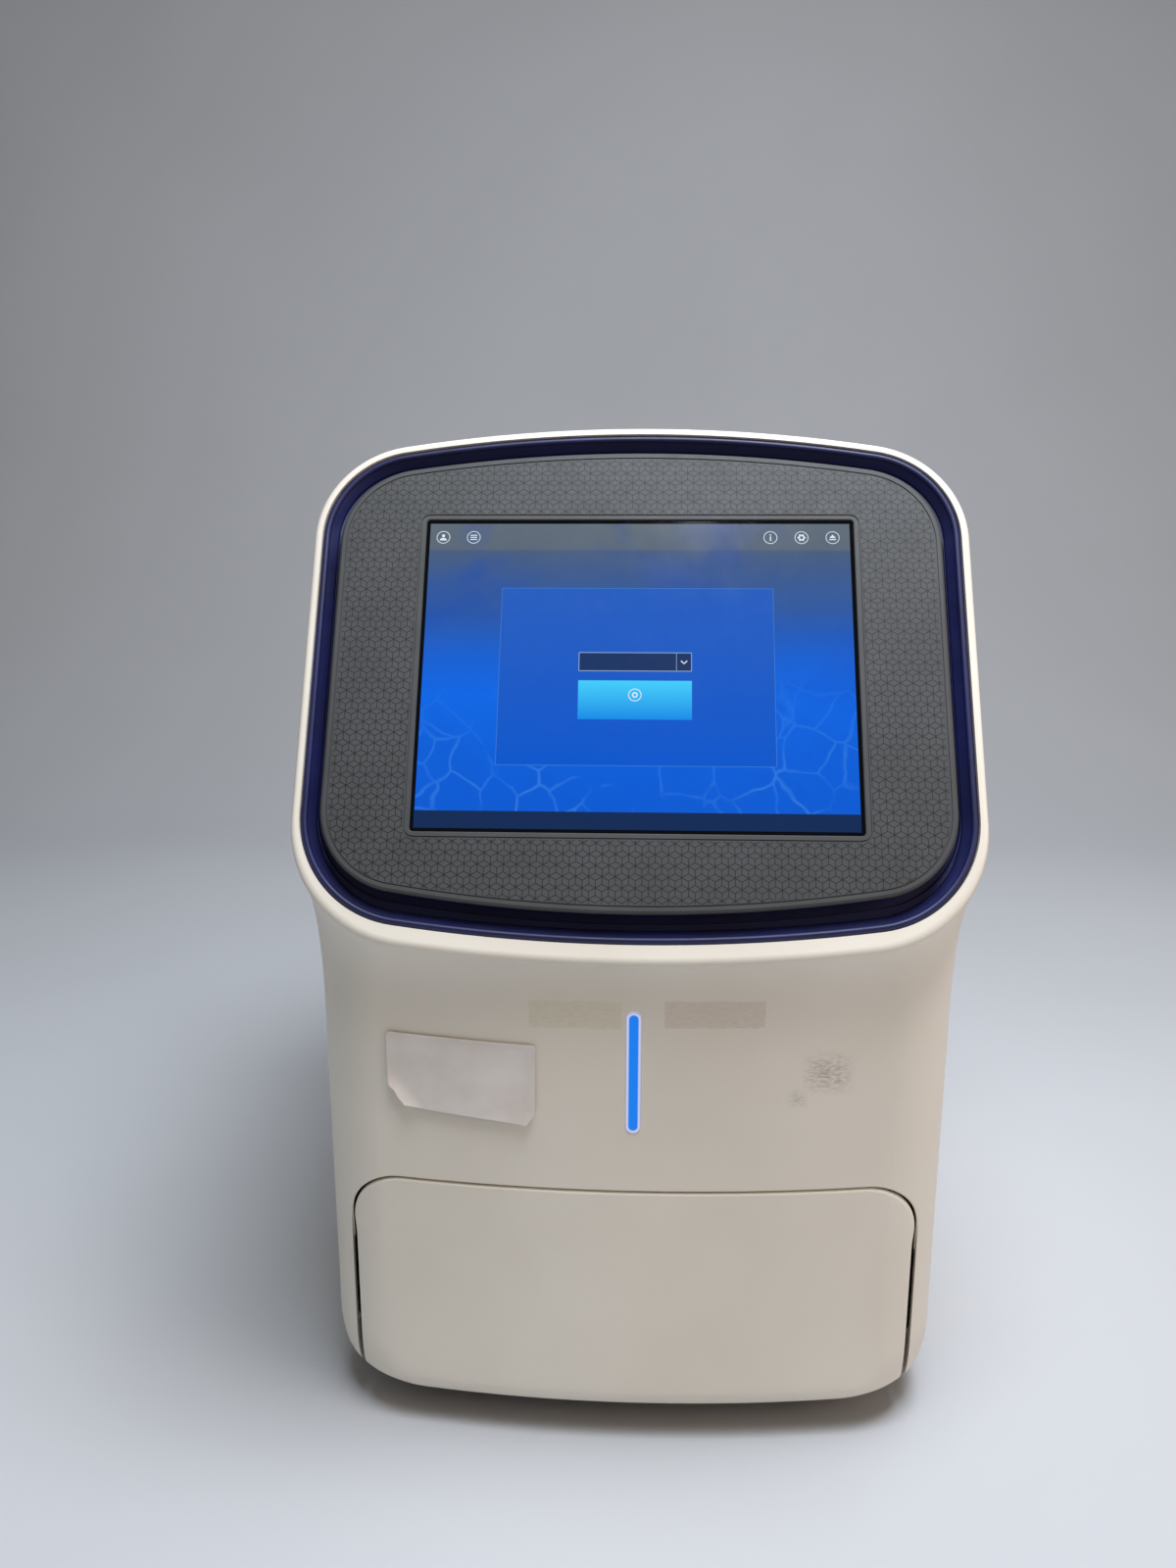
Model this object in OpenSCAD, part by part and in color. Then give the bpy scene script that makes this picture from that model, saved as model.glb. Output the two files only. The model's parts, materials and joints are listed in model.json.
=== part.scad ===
// Benchtop gel documentation system: a cabinet with a tilted touch screen, a motorised
// sample drawer with a turning stage, and a camera with a filter wheel above it.
// Front faces -Y, +X is to the right seen from the front, and z = 0 is the bench.

/* [Cabinet] */
// Width of the cabinet
body_w = 376; // [368:2:396]
// Depth from the front of the rim to the back of the fan guard
body_d = 486; // [480:2:520]
// Height of the top above the bench
body_h = 602; // [600:1:612]
// Height of the cabinet's underside above the bench
foot_gap = 20; // [14:1:24]
// Wall of the moulded shells
wall = 3.5; // [2.5:0.25:4]
// How far the rim stands in front of the front face
rim_overhang = 12; // [8:1:16]
// Height of the flare under the rim
flare_h = 46; // [38:1:50]
// Radius of the front vertical corners
corner_r = 48; // [42:1:60]
// How much rounder those corners are at the underside
corner_spread = 28; // [10:1:30]
// Height over which they get rounder
spread_h = 40; // [30:1:50]
// Radius of the bulge across the front face
front_bulge_r = 950; // [800:10:1200]
// Radius of the top corners
top_corner_r = 54; // [46:1:60]
// Radius of the crown across the top
crown_r = 850; // [800:10:1600]
// Radius of the bottom edge
bottom_r = 14; // [8:1:18]
// Distance of the seam between front shell and cover behind the front of the rim
seam_back = 183; // [180:1:190]
// Depth of the rear panel's rounded edge
rear_edge = 16; // [12:1:20]

/* [Screen] */
// Backward tilt of the screen
screen_tilt = 27.7; // [26:0.1:29]
// Distance of the middle of the screen below the top
screen_drop = 138; // [137:1:141]
// Width of the lit area
lcd_w = 245.8; // [238:0.1:250]
// Height of the lit area
lcd_h = 184.3; // [178:0.1:190]
// Distance of the patterned panel's sides inside the rim's
panel_side = 18.2; // [17:0.1:21]
// Height of the patterned panel
panel_h = 277; // [270:1:280]
// Thickness of the patterned panel's face
panel_t = 4; // [3:0.5:5]
// Thickness of the touch glass
glass_t = 3; // [2:0.5:3]
// Width of the dark frame round the lit area
lcd_margin = 2.2; // [1.5:0.1:3]
// Height of the rim above the middle of the screen
rim_top = 160; // [156:0.5:160.5]
// Height of the rim below the middle of the screen
rim_low = 164; // [160:0.5:166]
// How far the rim stands out beside the body
rim_side = 6.2; // [4:0.1:8]
// Width of the rim's lip at the sides and the top
lip_w = 5.1; // [4:0.1:6]
// Width of the rim's lip at the bottom
lip_low_w = 9.6; // [7:0.1:11]

/* [Light bar] */
// Length of the light bar
bar_l = 75; // [60:1:90]
// Width of the light bar
bar_w = 8.6; // [7:0.1:10]
// How far the bar's middle stands above the middle of the plain face
bar_rise = 26.6; // [23:0.1:29]

/* [Drawer] */
// Distance of the drawer front's sides inside the body's
drawer_side = 20; // [17:0.5:21]
// Height of the drawer front's top edge above the bench
drawer_top = 168.5; // [166:0.5:172]
// Radius of the drawer front's top corners
drawer_corner_r = 32; // [22:1:34]
// Gap round the drawer front
drawer_gap = 1.3; // [0.8:0.1:2]
// Distance of the light-tight chamber's walls inside the body's sides
chamber_side = 28; // [27:0.5:30]
// Travel of the drawer
drawer_travel = 250; // [200:5:260]
// Height of the drawer tray's floor above the bench
tray_z = 48; // [47:0.5:52]
// Height of the drawer deck above the tray's floor
deck_rise = 52; // [50:1:56]
// Radius of the turntable's bearing
bearing_r = 116; // [112:1:118]
// Width of the sample glass
platen_w = 220; // [200:2:224]
// Depth of the sample glass
platen_d = 180; // [160:2:184]
// Thickness of the sample glass
platen_t = 4; // [3:0.5:5]

/* [Gears] */
// Module of the stage and focus gears
gear_m = 1.5; // [1.5:0.1:1.6]
// Teeth of a full stage gear
stage_teeth = 172; // [172:1:174]
// Teeth of the small gears
pinion_teeth = 12; // [12:1:14]
// Teeth of the focus ring
focus_teeth = 48; // [48:1:50]
// Module of the drawer's rack
rack_m = 1; // [0.9:0.1:1.1]
// Teeth of the drawer's pinion
rack_pinion_teeth = 16; // [14:1:18]

/* [Optics] */
// Distance of the light-tight chamber's deck below the top
chamber_drop = 232; // [228:1:238]
// Radius of the lens barrel
lens_r = 30; // [28:0.5:31]
// Length of the lens barrel
lens_l = 74; // [70:1:78]
// Side of the camera housing
camera_w = 92; // [84:1:96]
// Height of the camera housing
camera_h = 66; // [60:1:68]
// Distance between lens and filter wheel axes
wheel_offset = 66; // [65:0.5:68]
// Radius of a filter
filter_r = 24; // [20:0.5:25]
// Number of filters in the wheel
filter_count = 5; // [4:1:5]

/* [Rear] */
// Side of the rear fan
fan_w = 92; // [80:1:100]
// Height of the fan's middle above the bench
fan_z = 455; // [440:1:470]

/* [Fits] */
// Clearance between pieces that move past each other
clearance = 0.3; // [0.3:0.05:0.4]
// Radial clearance of a shaft in its hole
shaft_fit = 0.05; // [0.02:0.01:0.08]

/* [Hidden] */
$fn = 48;

ARC_STEPS = 10;
half_w = body_w / 2;
front_y = -body_d / 2;
face_y = front_y + rim_overhang;
guard_proud = 3;
rear_y = body_d / 2 - guard_proud;
seam_y = front_y + seam_back;
cover_end_y = rear_y - rear_edge;
in_half_w = half_w - wall;

// The screen's own frame: u to the right, v up the tilted face, w out of it.
screen_z = body_h - screen_drop;
crest_w = -7;
lip_back_w = -14;
crest_in = 3.2;
screen_y = front_y + (rim_low - crest_in) * sin(screen_tilt) + crest_w * cos(screen_tilt);
ledge_w = -20;
ledge = 3.4;
rim_half_w = half_w + rim_side;
panel_w = 2 * (rim_half_w - panel_side);
drawer_w = body_w - 2 * drawer_side;
rim_corner_top_r = 62;
rim_corner_low_r = 72;
lip_corner_low_r = 64;
rim_crown_low_r = 1000;
panel_corner_r = 48;
panel_crown_r = 850;
flange_w = -16;
ring_gap = 3.5;
lcd_back_w = ledge_w;
bracket_t = 2;

flare_z = screen_z - rim_low * cos(screen_tilt) + lip_back_w * sin(screen_tilt) - flare_h;
bar_z = (drawer_top + flare_z) / 2 + bar_rise;
flare_steps = 7;
flare_bend = 0.7;

// Drawer and chamber
plate_z = foot_gap + 2;
plate_t = 3;
floor_z = plate_z + plate_t;
under_half_w = half_w - bottom_r - wall;
plate_edge = under_half_w - 0.1;
chamber_half_w = half_w - chamber_side;
sheet = 2;
chamber_top = body_h - chamber_drop;
stage_y = -20;
chamber_front_y = face_y + 43;
chamber_rear_y = stage_y + 155;
hood_front_y = stage_y - 130;
hood_rear_y = stage_y + 130;
hood_half_w = chamber_half_w - 10;
hood_z = drawer_top + 8;
gasket_t = 5;
face_plate_y = chamber_front_y - gasket_t;
slide_w = 12;
slide_h = 36;
slide_z = tray_z + slide_h / 2 + 4;
slide_rear_y = chamber_rear_y - 12;
slide_front_y = chamber_front_y + 4;
tray_half_w = chamber_half_w - sheet - slide_w;
tray_rear_y = chamber_rear_y - 8;
tray_t = 2;
deck_z = tray_z + deck_rise;
deck_t = 3;
deck_top = deck_z + deck_t;
race_w = 8;
race_h = 6;
turntable_w = 10;
stage_pitch_r = gear_m * stage_teeth / 2;
pinion_pitch_r = gear_m * pinion_teeth / 2;
stage_distance = stage_pitch_r + pinion_pitch_r;
stage_angle = 45;
stage_pinion_x = stage_distance * cos(stage_angle);
stage_pinion_y = stage_y + stage_distance * sin(stage_angle);
platen_rim = 8;
platen_frame_h = 10;
turntable_top = deck_top + race_h + clearance;
rack_pitch_r = rack_m * rack_pinion_teeth / 2;
rack_x = 0;
rack_w = 8;
rack_t = 6;
rack_pinion_y = chamber_front_y + 34;
shaft_r = 2.5;
small_motor_r = 17;
rack_front_y = face_plate_y + sheet + 2;
rack_rear_y = rack_front_y + drawer_travel + 60;

// Optics
wheel_z = chamber_top + sheet + 6;
wheel_t = 8;
wheel_r = wheel_offset + filter_r + 6;
bridge_z = wheel_z + wheel_t + 8;
bridge_t = 4;
lens_z = wheel_z + wheel_t + 10;
lens_top = lens_z + lens_l;
arm_t = 6;
camera_z = lens_top;
sink_z = camera_z + camera_h;
sink_h = 22;
cam_fan_z = sink_z + sink_h;
cam_fan_w = 60;
cam_fan_h = 15;
focus_pitch_r = gear_m * focus_teeth / 2;
focus_distance = focus_pitch_r + pinion_pitch_r;
focus_h = 18;
focus_z = lens_top - arm_t - 10 - focus_h;

// ---------------------------------------------------------------- outlines

// Half of an arched outline, from its middle to its side: a wide crown arc that runs
// into a corner arc, which ends on the straight side.
function arch_half(half, apex, big_r, small_r, inset = 0) =
    let (
        cx = half - small_r,
        by = apex - big_r,
        cy = by + sqrt(pow(big_r - small_r, 2) - cx * cx),
        tangent = atan2(cx, cy - by)
    )
    concat(
        [for (i = [0:3]) let (a = tangent * i / 4) [(big_r - inset) * sin(a),
            by + (big_r - inset) * cos(a)]],
        [for (i = [0:ARC_STEPS]) let (a = tangent + (90 - tangent) * i / ARC_STEPS)
            [cx + (small_r - inset) * sin(a), cy + (small_r - inset) * cos(a)]]
    );

function mirrored(pts) = [for (i = [len(pts) - 1:-1:1]) [-pts[i].x, pts[i].y]];
function flipped(pts) = [for (i = [len(pts) - 1:-1:0]) [pts[i].x, -pts[i].y]];
function arch_full(half, apex, big_r, small_r, inset = 0) =
    let (h = arch_half(half, apex, big_r, small_r, inset)) concat(mirrored(h), h);

// Radius of the front's vertical corners at height z.
function corner_at(z) = corner_r + corner_spread * pow(max(0, 1 - (z - foot_gap) / spread_h), 2);
spread_zs = [for (k = [1:3]) foot_gap + bottom_r + (spread_h - bottom_r) * k / 3];

// Plan of the cabinet's front part: bulged front, round corners, cut off at the seam.
function plan_points(inset = 0, back = seam_y, z = body_h) =
    concat(flipped(arch_full(half_w, -face_y, front_bulge_r, corner_at(z), inset)),
        [[-half_w + inset, back], [half_w - inset, back]]);

// Cross-section of the cabinet across X and Z, with its round top and bottom edges.
function section_points(inset = 0) = concat(
    arch_full(half_w, body_h, crown_r, top_corner_r, inset),
    [for (i = [0:5]) let (a = 90 * i / 5)
        [half_w - bottom_r + (bottom_r - inset) * cos(a),
            foot_gap + bottom_r - (bottom_r - inset) * sin(a)]],
    [for (i = [5:-1:0]) let (a = 90 * i / 5)
        [-half_w + bottom_r - (bottom_r - inset) * cos(a),
            foot_gap + bottom_r - (bottom_r - inset) * sin(a)]]
);

// Inside of the rim's lip in the screen's frame.
function lip_points(inset = 0) = concat(
    arch_full(rim_half_w, rim_top, crown_r, rim_corner_top_r, lip_w + inset),
    flipped(arch_full(rim_half_w - lip_w, rim_low - lip_low_w, rim_crown_low_r, lip_corner_low_r, inset))
);

// Patterned panel in the screen's frame.
function panel_points(inset = 0) =
    let (h = arch_full(panel_w / 2, panel_h / 2, panel_crown_r, panel_corner_r, inset))
    concat(h, flipped(h));

// Gear outline: straight-flanked teeth with backlash, tooth number 0 centred on angle 0.
function gear_points(teeth, m, from = 0, to = undef) =
    let (
        last = to == undef ? teeth - 1 : to,
        pitch_r = m * teeth / 2,
        half_tooth = 0.25 * PI * m - 0.12 * m,
        tip_r = pitch_r + 0.72 * m,
        root_r = pitch_r - 1.05 * m,
        tip_a = (half_tooth - 0.36 * m) / tip_r * 180 / PI,
        root_a = (half_tooth + 0.34 * m) / root_r * 180 / PI
    )
    [for (i = [from:last]) let (c = 360 * i / teeth) each [
        root_r * [cos(c - root_a), sin(c - root_a)], tip_r * [cos(c - tip_a), sin(c - tip_a)],
        tip_r * [cos(c + tip_a), sin(c + tip_a)], root_r * [cos(c + root_a), sin(c + root_a)]
    ]];

// Rack outline along +X with its teeth on +Y: a gap is centred on x = 0.
function rack_points(m, first, last, depth) =
    let (p = PI * m, half = 0.25 * p - 0.12 * m)
    concat([for (i = [first:last]) let (c = (i + 0.5) * p) each [
        [c - half - 0.38 * m, -1.05 * m], [c - half + 0.27 * m, 0.72 * m],
        [c + half - 0.27 * m, 0.72 * m], [c + half + 0.38 * m, -1.05 * m]
    ]], [[(last + 1) * p, -1.05 * m], [(last + 1) * p, -depth], [first * p, -depth],
        [first * p, -1.05 * m]]);

// ---------------------------------------------------------------- helpers

module screen_frame() {
    translate([0, screen_y, screen_z]) rotate([90 - screen_tilt, 0, 0]) children();
}

// A plate in the screen's frame between two heights along w.
module screen_slab(points, w0, w1) {
    screen_frame() translate([0, 0, w0]) linear_extrude(w1 - w0) polygon(points);
}

// A plate across X and Z between two places along Y.
module cross_slab(points, y0, y1) {
    translate([0, y1, 0]) rotate([90, 0, 0]) linear_extrude(y1 - y0) polygon(points);
}

module block(x0, x1, y0, y1, z0, z1) {
    translate([x0, y0, z0]) cube([x1 - x0, y1 - y0, z1 - z0]);
}

// A block centred in X on cx.
module bar(cx, w, y0, y1, z0, z1) {
    block(cx - w / 2, cx + w / 2, y0, y1, z0, z1);
}

module post(x, y, z0, z1, r) {
    translate([x, y, z0]) cylinder(r = r, h = z1 - z0);
}

// A cylinder along Y.
module rod_y(x, z, y0, y1, r) {
    translate([x, y1, z]) rotate([90, 0, 0]) cylinder(r = r, h = y1 - y0);
}

// A round-ended slot shape standing in the X-Z plane, extruded along Y.
module slot_y(w, l, z, y0, y1) {
    translate([0, y1, z]) rotate([90, 0, 0]) linear_extrude(y1 - y0) {
        square([w, l - w], center = true);
        for (s = [-1, 1]) translate([0, s * (l - w) / 2]) circle(w / 2);
    }
}

// A solid skinned over rings that all have as many points, with flat ends.
module loft(rings) {
    n = len(rings[0]);
    last = len(rings) - 1;
    polyhedron(points = [for (r = rings) each r], faces = concat(
        [[for (i = [0:n - 1]) i]],
        [for (k = [0:last - 1]) for (i = [0:n - 1]) let (a = k * n + i, b = k * n + (i + 1) % n)
            each [[a, a + n, b + n], [a, b + n, b]]],
        [[for (i = [n - 1:-1:0]) last * n + i]]
    ));
}

// The outline of the cabinet's front part at height z, as one ring of the front shell.
function plan_ring(z, inset) = concat(
    [for (p = flipped(arch_full(half_w, -face_y, front_bulge_r, corner_at(z), inset))) [-p.x, p.y, z]],
    [for (p = arch_full(half_w, body_h, crown_r, top_corner_r)) [-p.x * (1 - inset / half_w), seam_y, z]]
);

// The rings of the rounded bottom edge, from the underside up.
function bottom_rings() = concat(
    [for (a = [0:22.5:90]) plan_ring(foot_gap + bottom_r * (1 - cos(a)), bottom_r * (1 - sin(a)))],
    [for (z = spread_zs) plan_ring(z, 0)]
);

// A point of the screen's frame in the cabinet's frame.
function from_screen(p, w) = [p.x, screen_y + p.y * sin(screen_tilt) - w * cos(screen_tilt),
    screen_z + p.y * cos(screen_tilt) + w * sin(screen_tilt)];

function rim_low_half(inset, w) =
    [for (p = flipped(arch_full(rim_half_w, rim_low, rim_crown_low_r, rim_corner_low_r, inset)))
        from_screen([-p.x, p.y], w)];
function rim_top_half(inset, w) =
    [for (p = arch_full(rim_half_w, rim_top, crown_r, rim_corner_top_r, inset))
        from_screen([-p.x, p.y], w)];

// The flare leaves the front face upright and bends out to the rim.
function flare_ring(t) =
    let (foot = plan_ring(flare_z, 0), edge = rim_low_half(0, lip_back_w), n = len(edge),
        top = arch_full(half_w, body_h, crown_r, top_corner_r), rise = min(t / 0.9, 1))
    concat(
        [for (i = [0:n - 1]) let (p = foot[i], q = edge[i],
            bend = [p.x, p.y, p.z + flare_bend * (q.z - p.z)])
            (1 - t) * (1 - t) * p + 2 * t * (1 - t) * bend + t * t * q],
        [for (p = top) [-p.x, seam_y, flare_z + (p.y - flare_z) * rise]]
    );

// The front shell's outside as one solid, from the underside up to the rim's crest.
module front_block() {
    loft(concat(
        bottom_rings(),
        [for (k = [0:flare_steps - 1]) flare_ring(0.9 * k / (flare_steps - 1))],
        [for (r = [[0, lip_back_w], [0, crest_w - 3], [0.9, crest_w - 1.1], [crest_in, crest_w]])
            concat(rim_low_half(r[0], r[1]), rim_top_half(r[0], r[1]))]
    ));
}

// The hollow of the lower cabinet, stepped in over the rounded bottom edge.
module lower_hollow(z_top, inset = wall) {
    step = 0.55 * bottom_r;
    translate([0, 0, foot_gap + spread_h]) linear_extrude(z_top - foot_gap - spread_h)
        polygon(plan_points(inset, seam_y + 1));
    translate([0, 0, foot_gap + bottom_r]) linear_extrude(spread_h - bottom_r + 1)
        polygon(plan_points(inset, seam_y + 1, foot_gap + bottom_r));
    translate([0, 0, foot_gap + wall]) linear_extrude(bottom_r)
        polygon(plan_points(max(inset, step + 1.5), seam_y + 1, foot_gap));
}

// The head's hollow runs from the screen's ledge back to the seam.
module head_hollow() {
    inset = wall + 0.4;
    hull() {
        translate([0, 0, flare_z - 8]) linear_extrude(1) polygon(plan_points(inset));
        cross_slab([for (p = section_points(inset)) [p.x, max(p.y, flare_z - 8)]], seam_y, seam_y + 1);
        screen_slab(lip_points(ledge), ledge_w - 1, ledge_w + 0.5);
    }
}

// A flat plate across X whose two upper corners are round.
module round_topped(half, low, top, r, y0, y1) {
    translate([0, y1, 0]) rotate([90, 0, 0]) linear_extrude(y1 - y0) polygon(concat(
        [[-half, low], [half, low]],
        [for (i = [0:8]) let (a = 90 * i / 8) [half - r + r * cos(a), top - r + r * sin(a)]],
        [for (i = [0:8]) let (a = 90 + 90 * i / 8) [-half + r + r * cos(a), top - r + r * sin(a)]]
    ));
}

// The drawer front's outline in X and Z, open downwards.
module drawer_window(gap, y0, y1) {
    round_topped(drawer_w / 2 + gap, 0, drawer_top + gap, drawer_corner_r, y0, y1);
}

// ---------------------------------------------------------------- cabinet

module front_shell() {
    color("whitesmoke") difference() {
        front_block();
        lower_hollow(max(flare_z, bar_z + bar_l / 2 + 6));
        block(-under_half_w, under_half_w, chamber_front_y, seam_y + 1, 0, foot_gap + 2 * wall);
        head_hollow();
        screen_slab(lip_points(), ledge_w, 5);
        drawer_window(drawer_gap, front_y - 5, chamber_front_y + 2);
        slot_y(bar_w, bar_l, bar_z, front_y, face_y + 2 * wall);
    }
}

module main_cover() {
    color("gainsboro") difference() {
        cross_slab(section_points(), seam_y, cover_end_y);
        cross_slab(section_points(wall), seam_y - 1, cover_end_y + 1);
        block(-under_half_w, under_half_w, seam_y - 1, cover_end_y + 1, 0, foot_gap + 2 * wall);
    }
}

inlet_x = -120;
inlet_z = 78;
inlet_w = 48;
inlet_h = 28;
switch_x = inlet_x + 62;
switch_w = 22;
switch_h = 30;
io_x = 90;
io_z = 96;
io_w = 130;
io_h = 46;
vent_z = 330;

module rear_panel() {
    color("gainsboro") difference() {
        hull() {
            cross_slab(section_points(), cover_end_y, cover_end_y + 1);
            cross_slab(section_points(1.5), rear_y - 9, rear_y - 8);
            cross_slab(section_points(4), rear_y - 4, rear_y - 3);
            cross_slab(section_points(8), rear_y - 1, rear_y);
        }
        cross_slab(section_points(8 + wall), cover_end_y - 1, rear_y - wall);
        rod_y(0, fan_z, rear_y - 2 * wall, rear_y + 1, fan_w / 2 - 2);
        for (sx = [-1, 1]) for (sz = [-1, 1])
            rod_y(sx * fan_screw, fan_z + sz * fan_screw, rear_y - 2 * wall, rear_y + 1, 2.2);
        bar(inlet_x, inlet_w, rear_y - 2 * wall, rear_y + 1, inlet_z - inlet_h / 2, inlet_z + inlet_h / 2);
        bar(switch_x, switch_w, rear_y - 2 * wall, rear_y + 1, inlet_z - switch_h / 2,
            inlet_z + switch_h / 2);
        bar(io_x, io_w - 8, rear_y - 2 * wall, rear_y + 1, io_z - io_h / 2 + 4, io_z + io_h / 2 - 4);
        for (i = [-7:7]) bar(i * 14, 5, rear_y - 2 * wall, rear_y + 1, vent_z - 22, vent_z + 22);
        for (p = rear_screw_places) rod_y(p.x, p.y, rear_y - 2 * wall, rear_y + 1, 2.2);
    }
}

fan_screw = fan_w / 2 - 5;
rear_screw_places = [for (sx = [-1, 1]) for (z = [foot_gap + 24, body_h / 2,
    body_h - 40]) [sx * (half_w - 26), z]];

module base_plate() {
    color("silver") difference() {
        union() {
            block(-plate_edge, plate_edge, chamber_front_y + 14, cover_end_y, plate_z, floor_z);
            block(-chamber_half_w + 3, chamber_half_w - 3, chamber_front_y + 3, chamber_front_y + 15, plate_z,
                floor_z);
            for (s = [-1, 1]) bar(s * (plate_edge - sheet / 2), sheet, seam_y, cover_end_y, plate_z,
                floor_z + 10);
        }
        for (x = [-foot_x, foot_x]) for (y = foot_ys) post(x, y, 0, floor_z + 1, 2.6);
        for (x = [-60:20:60]) bar(x, 6, cover_end_y - 60, cover_end_y - 20, 0, floor_z + 1);
    }
}

foot_x = half_w - 42;
foot_ys = [chamber_front_y + 24, cover_end_y - 26];
foot_r = 16;

module rubber_feet() {
    color("black") for (x = [-foot_x, foot_x]) for (y = foot_ys) translate([x, y, 0]) {
        rotate_extrude() polygon([[0, 3], [5, 3], [5, 0], [foot_r - 2, 0], [foot_r, 2],
            [foot_r - 2, plate_z], [0, plate_z]]);
        cylinder(r = 2.5, h = floor_z + 4);
        translate([0, 0, floor_z]) cylinder(r = 6, h = 4);
    }
}

// ---------------------------------------------------------------- screen

module bezel_ring() {
    color("midnightblue") difference() {
        union() {
            screen_slab(lip_points(0.2), ledge_w, crest_w - 1.5);
            screen_slab(lip_points(1.2), crest_w - 4, crest_w);
        }
        screen_slab(lip_points(4.5), crest_w - 5, crest_w + 1);
        screen_slab(panel_points(-ring_gap), flange_w, crest_w + 1);
        screen_slab(panel_points(18), ledge_w - 1, crest_w);
        for (s = [-1, 1]) for (t = [-1, 1]) screen_frame()
            translate([s * (panel_w / 2 - 12), t * 88, ledge_w - 1])
            cylinder(r = 2, h = 3);
    }
}

module screen_panel() {
    color("dimgray") difference() {
        union() {
            screen_slab(panel_points(), -panel_t, 0);
            screen_slab(panel_points(4), flange_w, -panel_t);
        }
        screen_frame() translate([0, 0, -panel_t]) linear_extrude(panel_t + 1)
            square([lcd_w + 2 * lcd_margin, lcd_h + 2 * lcd_margin], center = true);
        screen_frame() translate([0, 0, flange_w - 1]) linear_extrude(-panel_t - flange_w + 1)
            square([lcd_w + 18.4, lcd_h + 18.4], center = true);
    }
}

module touch_glass() {
    color("black") screen_frame() translate([0, 0, -panel_t]) linear_extrude(glass_t)
        square([lcd_w + 2 * lcd_margin - 0.4, lcd_h + 2 * lcd_margin - 0.4], center = true);
}

module lcd_module() {
    color("royalblue") screen_frame() translate([0, 0, lcd_back_w]) linear_extrude(-panel_t - lcd_back_w)
        square([lcd_w + 18, lcd_h + 18], center = true);
}

module display_bracket() {
    color("silver") screen_frame() difference() {
        translate([0, 0, ledge_w - bracket_t]) linear_extrude(bracket_t)
            square([panel_w - 26, panel_h - 60], center = true);
        for (s = [-1, 1]) translate([s * 90, 0, ledge_w - bracket_t - 1])
            cylinder(r = 12, h = bracket_t + 2);
        for (s = [-1, 1]) for (t = [-1, 1]) translate([s * (panel_w / 2 - 20), t * 96,
            ledge_w - bracket_t - 1])
            cylinder(r = 2, h = bracket_t + 2);
    }
}

module display_board() {
    color("green") screen_frame() translate([0, 0, ledge_w - bracket_t]) {
        translate([-60, -40, -8]) cube([120, 80, 1.6]);
        for (x = [-54, 54]) for (y = [-34, 34]) translate([x, y, -8]) cylinder(r = 3, h = 8);
        translate([-20, -16, -11]) cube([30, 30, 3]);
        translate([26, -26, -13]) cube([24, 12, 5]);
        translate([-50, 10, -12]) cube([16, 20, 4]);
    }
}

bar_flange_t = 2;
flange_y = face_y + wall + 0.25;
board_y = flange_y + bar_flange_t;

module light_bar() {
    color("dodgerblue") union() {
        slot_y(bar_w - 0.2, bar_l - 0.2, bar_z, face_y - 0.3, flange_y);
        slot_y(bar_w + 8, bar_l + 8, bar_z, flange_y, flange_y + bar_flange_t);
    }
}

module light_bar_board() {
    color("darkgreen") union() {
        bar(0, bar_w + 6, board_y, board_y + 1.6, bar_z - bar_l / 2 - 3, bar_z + bar_l / 2 + 3);
        bar(0, 8, board_y + 1.6, board_y + 7, bar_z - 8, bar_z + 8);
    }
}

// ---------------------------------------------------------------- chamber

module chamber() {
    color("dimgray") difference() {
        union() {
            block(-chamber_half_w, chamber_half_w, chamber_front_y, chamber_rear_y, floor_z, hood_z);
            block(-hood_half_w, hood_half_w, hood_front_y, hood_rear_y, hood_z, chamber_top);
        }
        block(-chamber_half_w + sheet, chamber_half_w - sheet, chamber_front_y + sheet,
            chamber_rear_y - sheet, floor_z - 1, hood_z - sheet);
        block(-hood_half_w + sheet, hood_half_w - sheet, hood_front_y + sheet, hood_rear_y - sheet,
            hood_z - sheet - 1, chamber_top + 1);
        block(-mouth_half_w, mouth_half_w, chamber_front_y - 1, chamber_front_y + sheet + 1, floor_z - 1,
            mouth_top);
        block(-runner_way, runner_way, chamber_front_y - 1, chamber_front_y + sheet + 1,
            slide_z - slide_h / 2,
            slide_z + slide_h / 2);
    }
}

mouth_half_w = chamber_half_w - sheet - 4;
mouth_top = drawer_top - 12;
rail_t = 1.6;
// Half the width that the runners pass through.
runner_way = chamber_half_w - sheet - rail_t;

module chamber_deck() {
    color("gray") difference() {
        block(-hood_half_w - 10, in_half_w - 3, hood_front_y, hood_rear_y, chamber_top,
            chamber_top + sheet);
        post(0, stage_y, chamber_top - 1, chamber_top + sheet + 1, lens_r + 6);
        for (p = deck_screw_places) post(p.x, p.y, chamber_top - 1, chamber_top + sheet + 1, 2.2);
    }
}

deck_screw_places = [for (x = [-1, 1]) for (y = [-1, 1]) [x * (hood_half_w - 1), stage_y + y * 118]];

module deck_screws() {
    color("darkgray") for (p = deck_screw_places) translate([p.x, p.y, chamber_top + sheet])
        rotate_extrude() polygon([[0, 0], [4, 0], [4, 1.6], [2.6, 2.8], [0, 3]]);
}

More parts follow.
